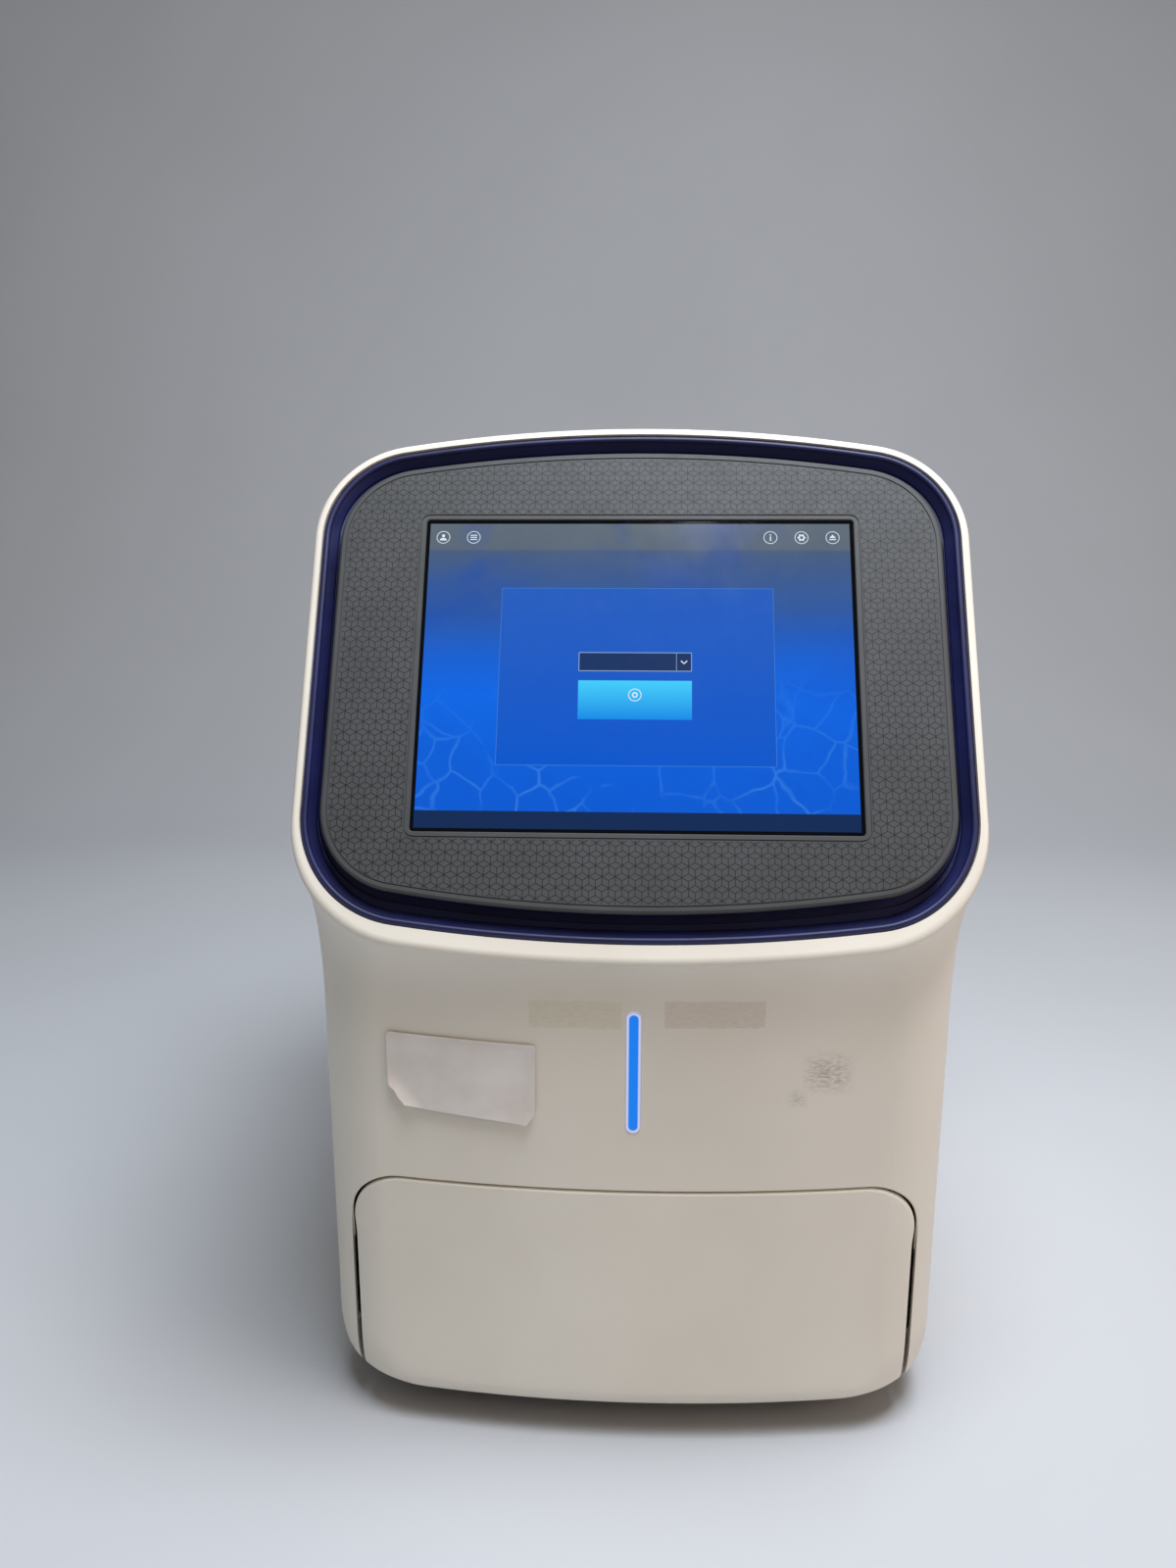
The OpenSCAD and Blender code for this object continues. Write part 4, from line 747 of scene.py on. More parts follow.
@dataclass(frozen=True)
class Cabinet:
    """The moulded front shell: a bulged lower face that flares out to the rim of a tilted screen."""

    half_w: float
    rim_half_w: float
    body_h: float
    foot_gap: float
    face_y: float
    seam_y: float
    screen_y: float
    screen_z: float
    wall: float = 3.5
    tilt: float = 27.7
    bottom_r: float = 14.0
    corner_r: float = 48.0
    corner_spread: float = 28.0
    spread_h: float = 40.0
    bulge_r: float = 950.0
    crown_r: float = 850.0
    top_corner_r: float = 54.0
    rim_top: float = 160.0
    rim_low: float = 166.0
    rim_corner_top_r: float = 62.0
    rim_corner_low_r: float = 72.0
    lip_corner_low_r: float = 64.0
    rim_crown_low_r: float = 1000.0
    lip_w: float = 5.1
    lip_low_w: float = 11.6
    lip_back_w: float = -14.0
    lip_round: float = 0.7
    crest_w: float = -7.0
    crest_in: float = 3.2
    crest_stretch: float = 1.5
    ledge_w: float = -20.0
    ledge: float = 3.4
    flare_h: float = 46.0
    flare_bend: float = 0.7
    flare_share: float = 0.9
    flare_steps: int = 16
    under_back: float = 43.0

    @classmethod
    def from_frame(cls) -> "Cabinet":
        """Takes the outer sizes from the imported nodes."""
        shell_low, shell_high = box_mm("front_shell")
        panel_low, panel_high = box_mm("screen_panel")
        lean = math.radians(cls.tilt)
        panel_half = ScreenPanel.height / 2
        return cls(
            half_w=box_mm("main_cover")[1].x,
            rim_half_w=shell_high.x,
            body_h=box_mm("main_cover")[1].z,
            foot_gap=shell_low.z,
            face_y=box_mm("drawer_front")[0].y,
            seam_y=shell_high.y,
            screen_y=panel_low.y + panel_half * math.sin(lean),
            screen_z=panel_high.z - panel_half * math.cos(lean),
        )

    @property
    def past(self) -> float:
        """A y behind the shell, where tools end."""
        return self.seam_y + 1

    def front(self, z: float = 1000.0) -> Arch:
        """The plan of the front at a height, its crown towards -Y; its corners are rounder low down."""
        low = max(0.0, 1 - (z - self.foot_gap) / self.spread_h)
        return Arch(self.half_w, -self.face_y, self.bulge_r, self.corner_r + self.corner_spread * low * low)

    @property
    def top(self) -> Arch:
        """The top of the cross-section."""
        return Arch(self.half_w, self.body_h, self.crown_r, self.top_corner_r)

    @property
    def rim_high(self) -> Arch:
        """The rim above the middle of the screen."""
        return Arch(self.rim_half_w, self.rim_top, self.crown_r, self.rim_corner_top_r)

    def rim_deep(self, inset: float = 0.0) -> list[Point]:
        """The rim below the middle of the screen; its lip rounds over more gently there."""
        half, low = self.rim_half_w - inset, self.rim_low - inset * self.crest_stretch
        return flipped(Arch(half, low, self.rim_crown_low_r, self.rim_corner_low_r).whole())

    @property
    def flare_z(self) -> float:
        """Height at which the flare leaves the face."""
        lean = math.radians(self.tilt)
        return self.screen_z - self.rim_low * math.cos(lean) + self.lip_back_w * math.sin(lean) - self.flare_h

    def on_screen(self, u: float, v: float, w: float) -> Spot:
        """A point of the screen's frame, in the cabinet's millimetres."""
        c, s = bearing(self.tilt)
        return (u, self.screen_y + v * s - w * c, self.screen_z + v * c + w * s)

    def screen_place(self, u: float, v: float, w: float) -> Vector:
        """The same point in the row frame, in metres."""
        return Vector(self.on_screen(u, v, w)) * MM

    def lip(self, inset: float = 0.0) -> list[Point]:
        """The inside of the rim's lip in the screen's frame."""
        half, low = self.rim_half_w - self.lip_w, self.rim_low - self.lip_low_w
        deep = Arch(half, low, self.rim_crown_low_r, self.lip_corner_low_r)
        return self.rim_high.whole(self.lip_w + inset) + flipped(deep.whole(inset))

    def plan(self, inset: float, back: float, z: float = 1000.0) -> list[Point]:
        """The cabinet's plan at a height, cut off at the back."""
        outline = flipped(self.front(z).whole(inset))
        return outline + [(-self.half_w + inset, back), (self.half_w - inset, back)]

    def face_depth(self, x: float, z: float) -> float:
        """The front face's y at a place across and up."""
        outline = self.front(z).side()
        x = abs(x)
        for (x0, y0), (x1, y1) in zip(outline, outline[1:]):
            if x0 <= x <= x1:
                return -(y0 + (y1 - y0) * (x - x0) / (x1 - x0))
        return self.seam_y

    def plan_ring(self, z: float, inset: float) -> list[Spot]:
        """One level of the block: the plan in front and the seam behind."""
        scale = 1 - inset / self.half_w
        front = [(-x, y, z) for x, y in flipped(self.front(z).whole(inset))]
        return front + [(-x * scale, self.seam_y, z) for x, _ in self.top.whole()]

    def rim_ring(self, inset: float, w: float) -> list[Spot]:
        """One level of the rim, low half first."""
        return [self.on_screen(-u, v, w) for u, v in self.rim_deep(inset) + self.rim_high.whole(inset)]

    def flare_ring(self, t: float) -> list[Spot]:
        """A level of the flare, which leaves the face upright and bends out to the rim."""
        foot = self.plan_ring(self.flare_z, 0)
        count = len(foot) // 2
        ring = []
        for (fx, fy, fz), (ex, ey, ez) in zip(foot[:count], self.rim_ring(0, self.lip_back_w)[:count]):
            bz = fz + self.flare_bend * (ez - fz)
            a, b, c = (1 - t) ** 2, 2 * t * (1 - t), t * t
            ring.append((a * fx + b * fx + c * ex, a * fy + b * fy + c * ey, a * fz + b * bz + c * ez))
        rise = min(t / self.flare_share, 1.0)
        top = [(-x, self.seam_y, self.flare_z + (y - self.flare_z) * rise) for x, y in self.top.whole()]
        return ring + top

    def block(self) -> Solid:
        """The shell's outside as one closed body."""
        low, r = self.foot_gap, self.bottom_r
        turns = fan(math.pi / 2, 6)
        rings = [self.plan_ring(low + r * (1 - math.cos(a)), r * (1 - math.sin(a))) for a in turns]
        rise = self.spread_h - r
        rings += [self.plan_ring(low + r + rise * k / 6, 0) for k in range(1, 7)]
        last = self.flare_steps - 1
        rings += [self.flare_ring(self.flare_share * k / last) for k in range(self.flare_steps)]
        near, far = rings[-1], self.rim_ring(0, self.lip_back_w)
        for t in (0.25, 0.5, 0.75):
            rings.append([tuple(p + (q - p) * t for p, q in zip(a, b)) for a, b in zip(near, far)])
        rings += [far, self.rim_ring(0, self.crest_w - self.crest_in)]
        for a in ROUND_TURNS:
            c, s = bearing(a)
            rings.append(self.rim_ring(self.crest_in * (1 - c), self.crest_w - self.crest_in * (1 - s)))
        return Solid().loft(rings)

    def hollows(self) -> list[Solid]:
        """The tools that hollow the block out."""
        step, wide = self.foot_gap + self.bottom_r, self.foot_gap + self.spread_h
        lower = Solid().prism(self.plan(self.wall, self.past), wide, self.flare_z + 14)
        waist = Solid().prism(self.plan(self.wall, self.past, step), step, wide + 1)
        floor_plan = self.plan(0.55 * self.bottom_r + 1.5, self.past, self.foot_gap)
        floor = Solid().prism(floor_plan, self.foot_gap + self.wall, step + 1)
        half, near = self.half_w - self.bottom_r - self.wall, self.face_y + self.under_back
        corners = [(-half, near), (half, near), (half, self.past), (-half, self.past)]
        under = Solid().prism(corners, 0, self.foot_gap + 2 * self.wall)
        inset = self.wall + 0.4
        low = self.flare_z - 8
        shape = [(x, y, z) for x, y in self.plan(inset, self.seam_y) for z in (low, low + 1)]
        for x, z in self.top.whole(inset):
            shape += [(x, y, z) for y in (self.seam_y, self.past)]
        shape += [self.on_screen(u, v, self.ledge_w) for u, v in self.lip(self.ledge)]
        return [lower, waist, floor, under, Solid().hull(shape)]

    def recess(self) -> Solid:
        """The screen's recess, with a small round at the lip's inner edge."""
        rise = self.lip_round
        levels = ((0.0, self.ledge_w), (0.0, self.crest_w - rise), (-0.2, self.crest_w - 0.2), (-rise, 5.0))
        return Solid(self.screen_place).loft([raised(self.lip(inset), w) for inset, w in levels])

    def window(self, levels: Sequence[Point]) -> Solid:
        """A tool shaped like the drawer's opening that follows the face.

        Args:
            levels: Pairs of how far the outline is offset and how deep behind the face.
        """
        back = self.face_y + self.under_back + 2
        rings = []
        for offset, depth in levels:
            through = depth == FAR_BACK
            outline = DrawerFront.outline(offset)
            rings.append([(x, back if through else self.face_depth(x, z) + depth, z) for x, z in outline])
        return Solid().loft(rings)

    def slot(self, bar: "LightBar") -> Solid:
        """The light bar's opening, its edge broken by half a millimetre."""
        rings = []
        for grow, depth in ((0.5, -6.0), (0.5, -0.1), (0.25, 0.1), (0.0, 0.4), (0.0, 12.0)):
            outline = slot_outline(bar.width + 2 * grow, bar.length + 2 * grow)
            rings.append([(x, self.face_y + depth, bar.middle + z) for x, z in outline])
        return Solid().loft(rings)

    def build(self, bar: "LightBar") -> None:
        """Makes the shell."""
        gap = DrawerFront.gap
        levels = ((gap + 0.8, -30.0), (gap + 0.8, -0.05), (gap + 0.35, 0.2), (gap, 0.8), (gap, FAR_BACK))
        tools = self.hollows() + [self.recess(), self.window(levels), self.slot(bar)]
        blank = carve(self.block().piece("front_moulding"), *tools)
        deliver(smooth(blank), "cabinet", "shell_white", "front_shell")


@dataclass(frozen=True)
class DrawerFront:
    """The drawer's moulded face: part of the cabinet's outside, with its edge rounded over."""

    cabinet: Cabinet
    half_w: float = 168.0
    top: float = 168.5
    corner_r: float = 32.0
    gap = 1.3
    edge_r: float = 1.5

    @classmethod
    def outline(cls, offset: float) -> list[Point]:
        """The face's outline across X and Z, open downwards, with close points where the plan bends."""
        half, top, r = cls.half_w + offset, cls.top + offset, cls.corner_r
        right = [(half - r + r * math.cos(a), top - r + r * math.sin(a)) for a in fan(math.pi / 2, 12)]
        across = [(half - r) * (1 - i / 40) for i in range(1, 80)]
        left = [(-x, z) for x, z in reversed(right)]
        foot = [half * (i / 40 - 1) for i in range(81)]
        return right + [(x, top) for x in across] + left + [(x, 0.0) for x in foot]

    def build(self) -> None:
        """Makes the drawer's face."""
        cab, edge = self.cabinet, self.edge_r
        levels = [(-edge, -30.0)]
        for a in (0, *ROUND_TURNS):
            c, s = bearing(a)
            levels.append((-edge * (1 - s), edge * (1 - c)))
        levels.append((0.0, FAR_BACK))
        step, r = cab.foot_gap + cab.bottom_r, cab.bottom_r - cab.wall
        plans = [(cab.bottom_r - r * math.sin(a), step - r * math.cos(a)) for a in fan(math.pi / 2, 6)]
        plans += [(cab.wall, step + (cab.spread_h - cab.bottom_r) * k / 4) for k in range(1, 5)]
        rings = [raised(cab.plan(inset, cab.past, z), z) for inset, z in plans]
        rings.append(raised(cab.plan(cab.wall, cab.past), self.top + 20))
        sole = cab.plan(cab.bottom_r, cab.past, cab.foot_gap)
        under = Solid().prism(sole, 0, cab.foot_gap + cab.wall + 0.5)
        blank = cab.block().piece("drawer_moulding")
        carve(blank, cab.window(levels), Solid().loft(rings), under, first=Cut.KEEP)
        deliver(smooth(blank), "drawer", "shell_white", "drawer_front")


@dataclass(frozen=True)
class LightBar:
    """The status light's opening."""

    width: float = 8.6
    length: float = 75.0
    middle: float = 244.0

    def dress(self) -> None:
        """Gives the light pipe its glow."""
        reach = (self.length - self.width) / 2
        # Cast acrylic, lit from behind: deep blue, with a pale edge that is partly a painted halo.
        pipe = LightPipe(
            "lit_acrylic_light_pipe", "05122E", "05122E", 0.25, Surface.POLISHED, ior=1.35,
            middle=self.middle, reach=reach - 0.6, core=2.9, rim=self.width / 2,
        )
        dress(frame["nodes"]["light_bar"], pipe)


# --- screen ---


@dataclass(frozen=True)
class ScreenPanel:
    """The film-covered panel round the display, with its printed net of cells."""

    cabinet: Cabinet
    width: float = 352.0
    height = 277.0
    crown_r: float = 850.0
    corner_r: float = 48.0
    thick: float = 4.0
    back_w: float = -16.0
    back_grow: float = 9.2
    open_w: float = 245.8 + 4.4
    open_h: float = 184.3 + 4.4
    groove: float = 3.4
    frame_gap: float = 2.6
    clear: float = 1.3
    cell: float = 7.2
    line: float = 0.46
    dot: float = 0.72
    ink_low: float = -0.02
    ink_top: float = 0.04

    def outline(self, inset: float = 0.0) -> list[Point]:
        """The panel's outline in the screen's frame."""
        half = Arch(self.width / 2, self.height / 2, self.crown_r, self.corner_r).whole(inset)
        return half + flipped(half)

    def opening(self, grow: float = 0.0) -> list[Point]:
        """The display's opening."""
        return round_rect(self.open_w / 2 + grow, self.open_h / 2 + grow, 2.0 + grow)

    def build(self) -> None:
        """Makes the panel with a bevelled edge and two fine grooves."""
        angles = bearings(self.outline(), self.opening(), self.outline(8.0))
        g, f, under = self.groove, self.frame_gap, -self.thick
        outside = (
            (4.0, self.back_w), (4.0, under), (0.0, under), (0.0, -1.6), (0.4, -0.7), (1.5, 0.0),
            (g, 0.0), (g + 0.15, -0.5), (g + 0.75, -0.5), (g + 0.9, 0.0),
        )
        within = (
            (f + 0.9, 0.0), (f + 0.75, -0.5), (f + 0.15, -0.5), (f, 0.0), (0.5, 0.0), (0.0, -0.5),
            (0.0, under), (self.back_grow, under), (self.back_grow, self.back_w),
        )
        levels = [raised(cast(self.outline(i), angles), w) for i, w in outside]
        levels += [raised(cast(self.opening(i), angles), w) for i, w in within]
        piece = Solid(self.cabinet.screen_place).loft(levels, capped=False).piece("screen_surround")
        deliver(smooth(piece, 25), "cabinet", "panel_grey", "screen_panel")

    def printed(self, p: Point) -> bool:
        """Whether ink may lie at a place: between the two grooves."""
        outer, inner = self.outline(self.groove + self.clear), self.opening(self.frame_gap + self.clear)
        return inside(p, outer) and not inside(p, inner)

    def clipped(self, a: Point, b: Point) -> tuple[Point, Point] | None:
        """Cuts a stroke back to where ink may lie.

        Args:
            a: One end.
            b: The other end.

        Returns:
            The stroke's two ends, or None where it has no room.
        """
        here, there = self.printed(a), self.printed(b)
        if here and there:
            return a, b
        if not (here or there):
            return None
        near, far = (a, b) if here else (b, a)

        def along(t: float) -> Point:
            """The place a share of the way from the near end."""
            return near[0] + (far[0] - near[0]) * t, near[1] + (far[1] - near[1]) * t

        low, high = 0.0, 1.0
        for _ in range(5):
            t = (low + high) / 2
            low, high = (t, high) if self.printed(along(t)) else (low, t)
        return (near, along(low)) if low > 0.1 else None

    def net(self) -> None:
        """Prints the net of rhombic cells between the two grooves."""
        arm = self.cell / math.sqrt(3)
        row = self.cell * math.sqrt(3) / 2
        turns = [bearing(30 + 60 * k) for k in range(6)]
        ink = Solid(self.cabinet.screen_place)
        half = self.line / 2
        for j in range(-23, 24):
            for i in range(-27, 28):
                u, v = (i + 0.5 * (j % 2)) * self.cell, j * row
                if abs(u) > self.width / 2 + arm or abs(v) > self.height / 2 + arm:
                    continue
                if self.printed((u, v)):
                    ink.prism(circle(self.dot, 6, u, v), self.ink_low, self.ink_top + 0.02)
                for c, s in turns:
                    stroke = self.clipped((u, v), (u + c * arm, v + s * arm))
                    if stroke:
                        (x0, y0), (x1, y1) = stroke
                        p, q = -s * half, c * half
                        corners = [(x0 - p, y0 - q), (x1 - p, y1 - q), (x1 + p, y1 + q), (x0 + p, y0 + q)]
                        ink.prism(corners, self.ink_low, self.ink_top)
        deliver(ink.piece("printed_cell_net"), "cabinet", "panel_grey", finish=INK)


@dataclass(frozen=True)
class BezelRing:
    """The navy trim inside the rim's lip: a rounded bead, a slope down and a dark gap round the panel.

    Each pair is an inset, from the lip or for the inner ones from the panel, and a depth below the crest.
    """

    cabinet: Cabinet
    panel: ScreenPanel
    outer: tuple[Point, ...] = (
        (0.3, -20.0), (0.3, -2.6), (0.45, -1.9), (0.8, -1.3), (1.3, -0.8), (1.9, -0.5), (2.6, -0.4),
        (3.3, -0.6), (3.9, -1.0), (4.3, -1.6), (4.6, -2.4), (8.0, -5.2), (8.5, -5.8), (8.7, -6.6),
    )
    inner: tuple[Point, ...] = (
        (-5.0, -6.9), (-4.1, -6.9), (-3.9, -7.2), (-3.5, -9.0), (17.8, -9.0), (17.8, -12.95),
    )

    def build(self) -> None:
        """Makes the ring."""
        cab = self.cabinet
        angles = bearings(cab.lip(), self.panel.outline())
        levels = []
        for inset, depth in self.outer:
            w = max(cab.crest_w + depth, cab.ledge_w + 0.05)
            levels.append(raised(cast(cab.lip(inset), angles), w))
        for inset, depth in self.inner:
            ring = []
            for p, q in zip(cast(self.panel.outline(inset), angles), levels[-1]):
                further_in = math.hypot(*p) < math.hypot(q[0], q[1]) - 0.05
                ring.append(p if further_in else (q[0] * 0.9995, q[1] * 0.9995))
            levels.append(raised(ring, cab.crest_w + depth))
        piece = Solid(cab.screen_place).loft(levels, capped=False).piece("trim_ring")
        deliver(smooth(piece), "cabinet", "navy_plastic", "bezel_ring")


class Layer(Solid):
    """One lit layer of the display's picture, a few hundredths of a millimetre thick."""

    def __init__(self, place: Place, level: float) -> None:
        """Starts empty.

        Args:
            place: Takes a point in millimetres to the row frame in metres.
            level: Where the layer stands along the screen's third axis.
        """
        super().__init__(place)
        self.low, self.high = level - 0.01, level + 0.03

    def fill(self, outline: Sequence[Point], foot: float = 0.0, top: float = 0.0) -> None:
        """Fills an outline; foot and top shift its two levels."""
        self.prism(outline, self.low + foot, self.high + top)

    def box(self, x: float, y: float, half_w: float, half_h: float, top: float = 0.0) -> None:
        """Fills a rectangle."""
        self.fill(round_rect(half_w, half_h, 0.01, 4, x, y), 0.0, top)

    def frame(self, x: float, y: float, half_w: float, half_h: float, line: float = 0.35) -> None:
        """Draws a rectangle's outline."""
        outer = round_rect(half_w, half_h, 0.4, 3, x, y)
        self.washer(outer, round_rect(half_w - line, half_h - line, 0.2, 3, x, y), self.low, self.high)

    def ring(self, x: float, y: float, outer: float, inner: float, steps: int) -> None:
        """Draws a ring between two radii."""
        self.washer(circle(outer, steps, x, y), circle(inner, steps, x, y), self.low, self.high)


@dataclass(frozen=True)
class Display:
    """The lit display behind its glass: a plain menu of shapes, with no words."""

    cabinet: Cabinet
    lit_w: float = 245.8
    lit_h: float = 184.3
    margin: float = 2.0
    face_w: float = -1.0
    back_w: float = -4.0
    footer_v: float = -82.2
    card_half: float = 78.5
    card_top: float = 51.3
    card_low: float = -55.8
    field_x: float = -1.2
    field_half: float = 32.2
    icons: tuple[float, ...] = (-115.0, -97.0, 77.0, 95.0, 113.0)
    icon_v: float = 83.4
    icon_r: float = 4.0

    @property
    def field(self) -> tuple[float, float, float, float]:
        """The field's middle and half sizes."""
        return (self.field_x, 5.9, self.field_half, 5.7)

    @property
    def button(self) -> tuple[float, float, float, float]:
        """The button's middle and half sizes."""
        return (self.field_x, -17.0, self.field_half, 11.6)

    def gradient(
        self, name: str, top: float, bottom: float, kind: type = LitPlate, **colours: str
    ) -> LitPlate:
        """A finish that runs between two places up the screen."""
        ends = [self.cabinet.on_screen(0, v, self.face_w)[2] for v in (top, bottom)]
        return kind(name, top=ends[0], bottom=ends[1], **colours)

    def plate(self, name: str, finish: Finish, level: float, draw: Callable[[Layer], None]) -> None:
        """Makes one lit layer.

        Args:
            name: The piece's name.
            finish: Its finish.
            level: How far it stands above the glass's face, in hundredths of a millimetre.
            draw: Adds the layer's shapes.
        """
        layer = Layer(self.cabinet.screen_place, self.face_w + level * 0.01)
        draw(layer)
        deliver(layer.piece(name), "cabinet", "screen", finish=finish)

    def field_lines(self, layer: Layer) -> None:
        """Draws the field's outline and its divider."""
        layer.frame(*self.field)
        layer.box(22.3, 5.9, 0.12, 5.2, -0.004)

    def sign(self, layer: Layer, number: int, u: float, v: float) -> None:
        """Draws the plain sign inside a round button: a person, a list, a note, a wheel or an arrow."""
        if number == 0:
            layer.fill(circle(0.95, 20, u, v + 1.0))
            layer.fill([(u + 2.1 * math.cos(a), v - 2.0 + 1.7 * math.sin(a)) for a in fan(math.pi, 12)])
        elif number == 1:
            for k in (-1, 0, 1):
                layer.box(u, v + 1.35 * k, 2.0, 0.3)
        elif number == 2:
            layer.box(u, v - 0.7, 0.35, 1.4)
            layer.fill(circle(0.45, 16, u, v + 1.7))
        elif number == 3:
            layer.ring(u, v, 1.9, 1.0, 24)
            for a in fan(2 * math.pi, 6)[:-1]:
                layer.fill(circle(0.42, 8, u + 2.1 * math.cos(a), v + 2.1 * math.sin(a)), -0.004, -0.004)
        else:
            layer.fill([(u - 1.9, v - 0.2), (u + 1.9, v - 0.2), (u, v + 1.9)])
            layer.box(u, v - 1.2, 1.9, 0.35)

    def signs(self, layer: Layer) -> None:
        """Draws the round buttons, the sign on the large button and the field's arrow."""
        for number, u in enumerate(self.icons):
            layer.ring(u, self.icon_v, self.icon_r, self.icon_r - 0.4, 40)
            self.sign(layer, number, u, self.icon_v)
        layer.ring(self.field_x, -14, 3.8, 3.3, 36)
        layer.ring(self.field_x, -14, 1.7, 0.9, 24)
        for s in (-1, 1):
            (tip_u, tip_v), (end_u, end_v) = (26.6, 4.9), (26.6 + 1.7 * s, 6.6)
            stroke = [(tip_u, tip_v - 0.35), (end_u + 0.25 * s, end_v - 0.25),
                      (end_u - 0.25 * s, end_v + 0.25), (tip_u, tip_v + 0.35)]
            layer.fill(stroke[::s])

    def build(self) -> None:
        """Makes the glass, the picture under it and each shape on it."""
        half_w, half_h = self.lit_w / 2, self.lit_h / 2
        grow, top = self.margin, self.face_w
        rings = ((grow, self.back_w), (grow, top - 0.3), (grow - 0.3, top))
        levels = [raised(round_rect(half_w + g, half_h + g, 2.0), w) for g, w in rings]
        pane = Solid(self.cabinet.screen_place).loft(levels).piece("display_pane")
        deliver(pane, "cabinet", "screen", "touch_glass", finish=BORDER)
        foot, y, button_half = self.footer_v, self.button[1], self.button[3]
        footer = (0, (foot - half_h) / 2, half_w - 0.05, (foot + half_h) / 2)
        high, low = self.card_top, self.card_low
        card = (-0.5, (high + low) / 2, self.card_half, (high - low) / 2)
        picture = self.gradient("lit_display_blue", half_h, -half_h, LitPicture)
        card_light = self.gradient("lit_card_blue", high, low, lit="265DBD", lit_low="0456CC")
        button_light = self.gradient(
            "lit_button_cyan", y + button_half, y - button_half, lit="43CEFA", lit_low="1489E6"
        )
        self.plate("display_picture", picture, 1, lambda layer: layer.box(0, 0, half_w, half_h))
        self.plate("display_footer", FOOTER_LIGHT, 4, lambda layer: layer.box(*footer))
        self.plate("display_card", card_light, 4, lambda layer: layer.box(*card))
        self.plate("display_card_line", EDGE_LIGHT, 7, lambda layer: layer.frame(*card))
        self.plate("display_field", FIELD_LIGHT, 7, lambda layer: layer.box(*self.field))
        self.plate("display_button", button_light, 7, lambda layer: layer.box(*self.button))
        self.plate("display_field_line", LINE_LIGHT, 10, self.field_lines)
        self.plate("display_signs", WHITE_LIGHT, 10, self.signs)


# --- things on the face ---


@dataclass(frozen=True)
class Card:
    """A blank card stuck to the face, its lower corners torn and one of them curled away.

    Its corners are (x, z) from the upper left, clockwise.
    """

    cabinet: Cabinet
    corners: tuple[Point, ...] = ((-141.8, 262.6), (-55.4, 259.4), (-56.0, 210.5), (-141.8, 219.0))
    columns: int = 44
    rows: int = 28
    thick: float = 0.5
    lift: float = 0.9
    curl: float = 6.5

    def ends(self, t: float) -> tuple[float, float]:
        """Where a row starts and ends, as shares of the width; t runs down the card."""
        torn = max(0.0, t - 0.76) / 0.24
        cut = max(0.0, t - 0.85) / 0.15
        nip = max(0.0, 0.05 - t) / 0.05
        ragged = 0.006 * math.sin(40 * t) * min(1.0, 4 * torn)
        return 0.018 * nip**2 + 0.1 * torn**0.8 + ragged, 1 - 0.055 * cut - 0.01 * nip**2

    def spot(self, s: float, t: float) -> Spot:
        """Where a place on the card lies."""
        tl, tr, br, bl = self.corners
        x, z = ((1 - t) * ((1 - s) * tl[i] + s * tr[i]) + t * ((1 - s) * bl[i] + s * br[i]) for i in (0, 1))
        corner = (max(0.0, t - 1.9 * s - 0.5) / 0.5) ** 1.5
        far = max(0.0, t + s - 1.7) / 0.3
        edge = 0.5 * max(0.0, 1 - 14 * min(s, 1 - s, t))
        away = self.lift + 1.2 * t * t + 0.7 * math.sin(3.0 * s) * t + edge
        away += self.curl * corner + 1.6 * far**2
        return x + 2.5 * corner, self.cabinet.face_depth(x, z) - away, z + 2.5 * corner

    def build(self) -> None:
        """Makes the card."""
        mesh = bmesh.new()
        sheet = []
        for j in range(self.rows + 1):
            t = j / self.rows
            start, end = self.ends(t)
            shares = [start + (end - start) * i / self.columns for i in range(self.columns + 1)]
            sheet.append([mesh.verts.new(straight(*self.spot(s, t))) for s in shares])
        for a, b in zip(sheet, sheet[1:]):
            for i in range(self.columns):
                mesh.faces.new((a[i], a[i + 1], b[i + 1], b[i]))
        bmesh.ops.recalc_face_normals(mesh, faces=mesh.faces)
        piece = poured("blank_card", mesh)
        body = piece.modifiers.new("thickness", "SOLIDIFY")
        body.thickness = self.thick * MM
        body.offset = 0
        settle(piece)
        deliver(shaded(piece, 40), "cabinet", "shell_white", finish=CARD)


# --- softened nodes ---


@dataclass(frozen=True)
class Softened:
    """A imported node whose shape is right, copied with its edges broken as the real piece's are."""

    node: str
    edge: float
    angle: float = 35.0

    def build(self) -> None:
        """Makes the copy and lets it stand for the node."""
        part = bmesh.new()
        part.from_mesh(frame["nodes"][self.node].data)
        bmesh.ops.remove_doubles(part, verts=part.verts, dist=2e-6)
        bmesh.ops.dissolve_limit(part, angle_limit=math.radians(0.4), verts=part.verts, edges=part.edges)
        limit = math.radians(self.angle)
        edges = [e for e in part.edges if len(e.link_faces) == 2 and e.calc_face_angle(0.0) > limit]
        bmesh.ops.bevel(
            part, geom=edges, offset=self.edge * MM, segments=2, profile=0.6,
            affect="EDGES", clamp_overlap=True,
        )
        piece = poured(f"{self.node}_softened", part)
        deliver(smooth(piece, 40), BODIES[self.node], SLOTS[self.node], self.node)


SOFTENED = (
    Softened("main_cover", 0.5),
    Softened("rear_panel", 0.4, 45.0),
    Softened("base_plate", 0.3),
    Softened("rubber_feet", 0.8),
    Softened("drawer_face_plate", 0.35),
    Softened("drawer_gasket", 0.8),
    Softened("drawer_tray", 0.4),
    Softened("drawer_deck", 0.4),
    Softened("slide_runners", 0.3),
    Softened("platen_frame", 0.8),
    Softened("turntable", 0.25),
    Softened("io_panel", 0.3),
    Softened("power_inlet", 0.4),
    Softened("power_rocker", 0.5),
    Softened("switch_bezel", 0.4),
)


# --- studio ---


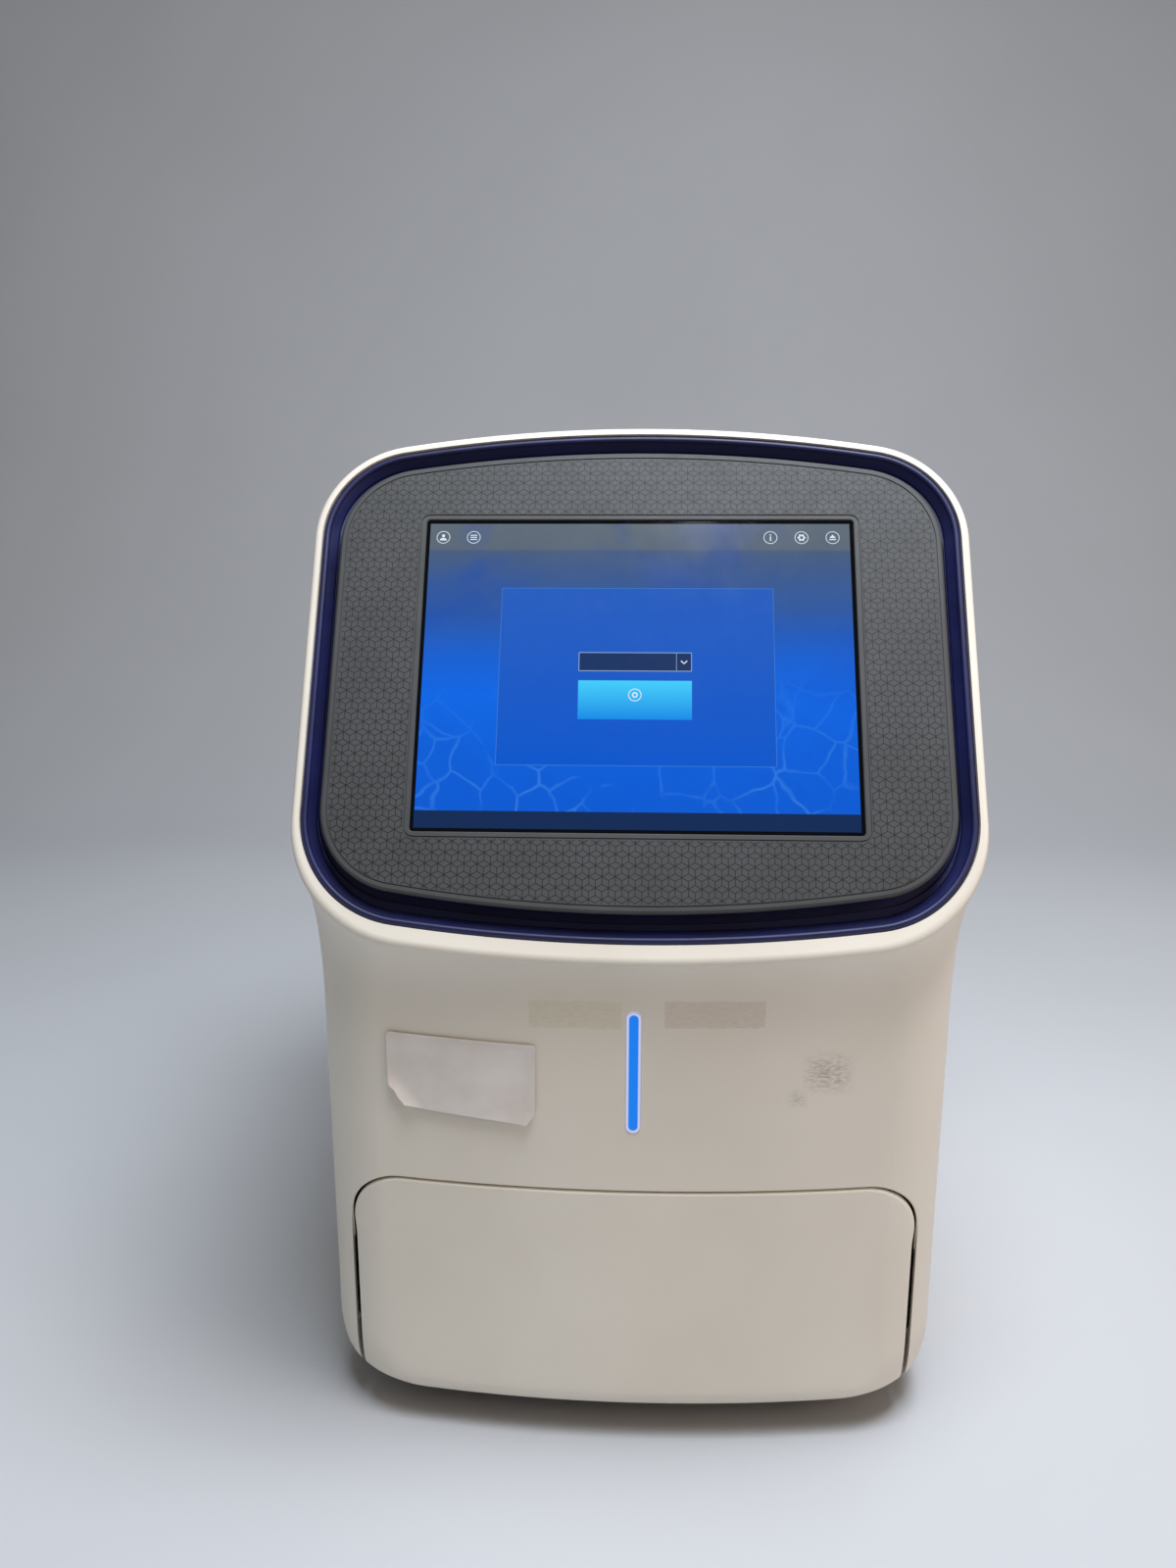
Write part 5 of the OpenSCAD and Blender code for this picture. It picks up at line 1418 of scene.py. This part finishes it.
@dataclass(frozen=True)
class Lamp:
    """A soft rectangular lamp: where it hangs, what it faces, its sides and its power in watts."""

    name: str
    place: Spot
    target: Spot
    width: float
    height: float
    power: float
    colour: str

    def build(self) -> None:
        """Hangs the lamp."""
        data = bpy.data.lights.new(self.name, "AREA")
        data.shape, data.size, data.size_y = "RECTANGLE", self.width, self.height
        data.energy = self.power
        data.color = linear(self.colour)[:3]
        lamp = stand(self.name, data)
        lamp.location = self.place
        aim = Vector(self.target) - Vector(self.place)
        lamp.rotation_euler = aim.to_track_quat("-Z", "Y").to_euler()


@dataclass(frozen=True)
class Studio:
    """A plain pale floor that runs up into a backdrop, soft lamps and the camera, in metres."""

    camera_place: Spot = (0.0, -0.8412, 0.552)
    pitch: float = 13.0
    yaw: float = 2.4
    lens: float = 27.05
    lamps: tuple[Lamp, ...] = (
        Lamp("overhead", (0.3, -0.42, 2.1), (0.0, -0.12, 0.3), 1.3, 0.8, 55.0, "EDF4FF"),
        Lamp("right_front", (1.7, -1.1, 1.1), (0.0, -0.15, 0.25), 1.0, 1.0, 9.5, "FFDEC6"),
        Lamp("left_fill", (-1.7, -1.2, 0.9), (0.0, -0.1, 0.3), 1.0, 1.0, 1.0, "EAF2FF"),
    )
    half_w: float = 5.0
    near: float = -4.0
    bend_y: float = 1.1
    bend_r: float = 0.9
    wall_top: float = 4.5

    def build(self) -> None:
        """Sets the stage."""
        self.floor()
        for lamp in self.lamps:
            lamp.build()
        self.world()
        data = bpy.data.cameras.new("camera")
        data.lens, data.sensor_width = self.lens, 36.0
        camera = stand("camera", data)
        camera.location = self.camera_place
        camera.rotation_euler = Euler((math.radians(90 - self.pitch), 0.0, math.radians(self.yaw)))
        bpy.context.scene.camera = camera
        bpy.context.scene.view_settings.view_transform = "Standard"

    def floor(self) -> None:
        """Makes the floor and backdrop as one sheet with a wide bend."""
        mesh = bmesh.new()
        y, r = self.bend_y, self.bend_r
        bend = [(y + r * math.sin(a), r - r * math.cos(a)) for a in fan(math.pi / 2, 16)[1:]]
        profile = [(self.near, 0.0), (y, 0.0)] + bend + [(y + r, self.wall_top)]
        left, right = ([mesh.verts.new((x, y, z)) for y, z in profile] for x in (-self.half_w, self.half_w))
        for i in range(len(profile) - 1):
            mesh.faces.new((left[i], right[i], right[i + 1], left[i + 1]))
        backdrop = poured("backdrop", mesh)
        backdrop.data.shade_smooth()
        dress(backdrop, PAPER)

    def world(self) -> None:
        """Lights the room evenly from all round."""
        world = bpy.data.worlds.new("room")
        bpy.context.scene.world = world
        world.use_nodes = True
        shade = world.node_tree.nodes["Background"]
        shade.inputs["Color"].default_value = linear("EAE2D8")
        shade.inputs["Strength"].default_value = 0.16


def main() -> None:
    """Dresses the frame, then builds each sub-assembly and the studio."""
    logging.basicConfig(level=logging.INFO, format="%(name)s: %(message)s")
    for name, node in frame["nodes"].items():
        dress(node, FINISHES[SLOTS[name]])
    cabinet = Cabinet.from_frame()
    bar = LightBar()
    panel = ScreenPanel(cabinet)
    cabinet.build(bar)
    bar.dress()
    DrawerFront(cabinet).build()
    panel.build()
    panel.net()
    BezelRing(cabinet, panel).build()
    Display(cabinet).build()
    Card(cabinet).build()
    for item in SOFTENED:
        item.build()
    Studio().build()


if __name__ == "__main__":
    main()
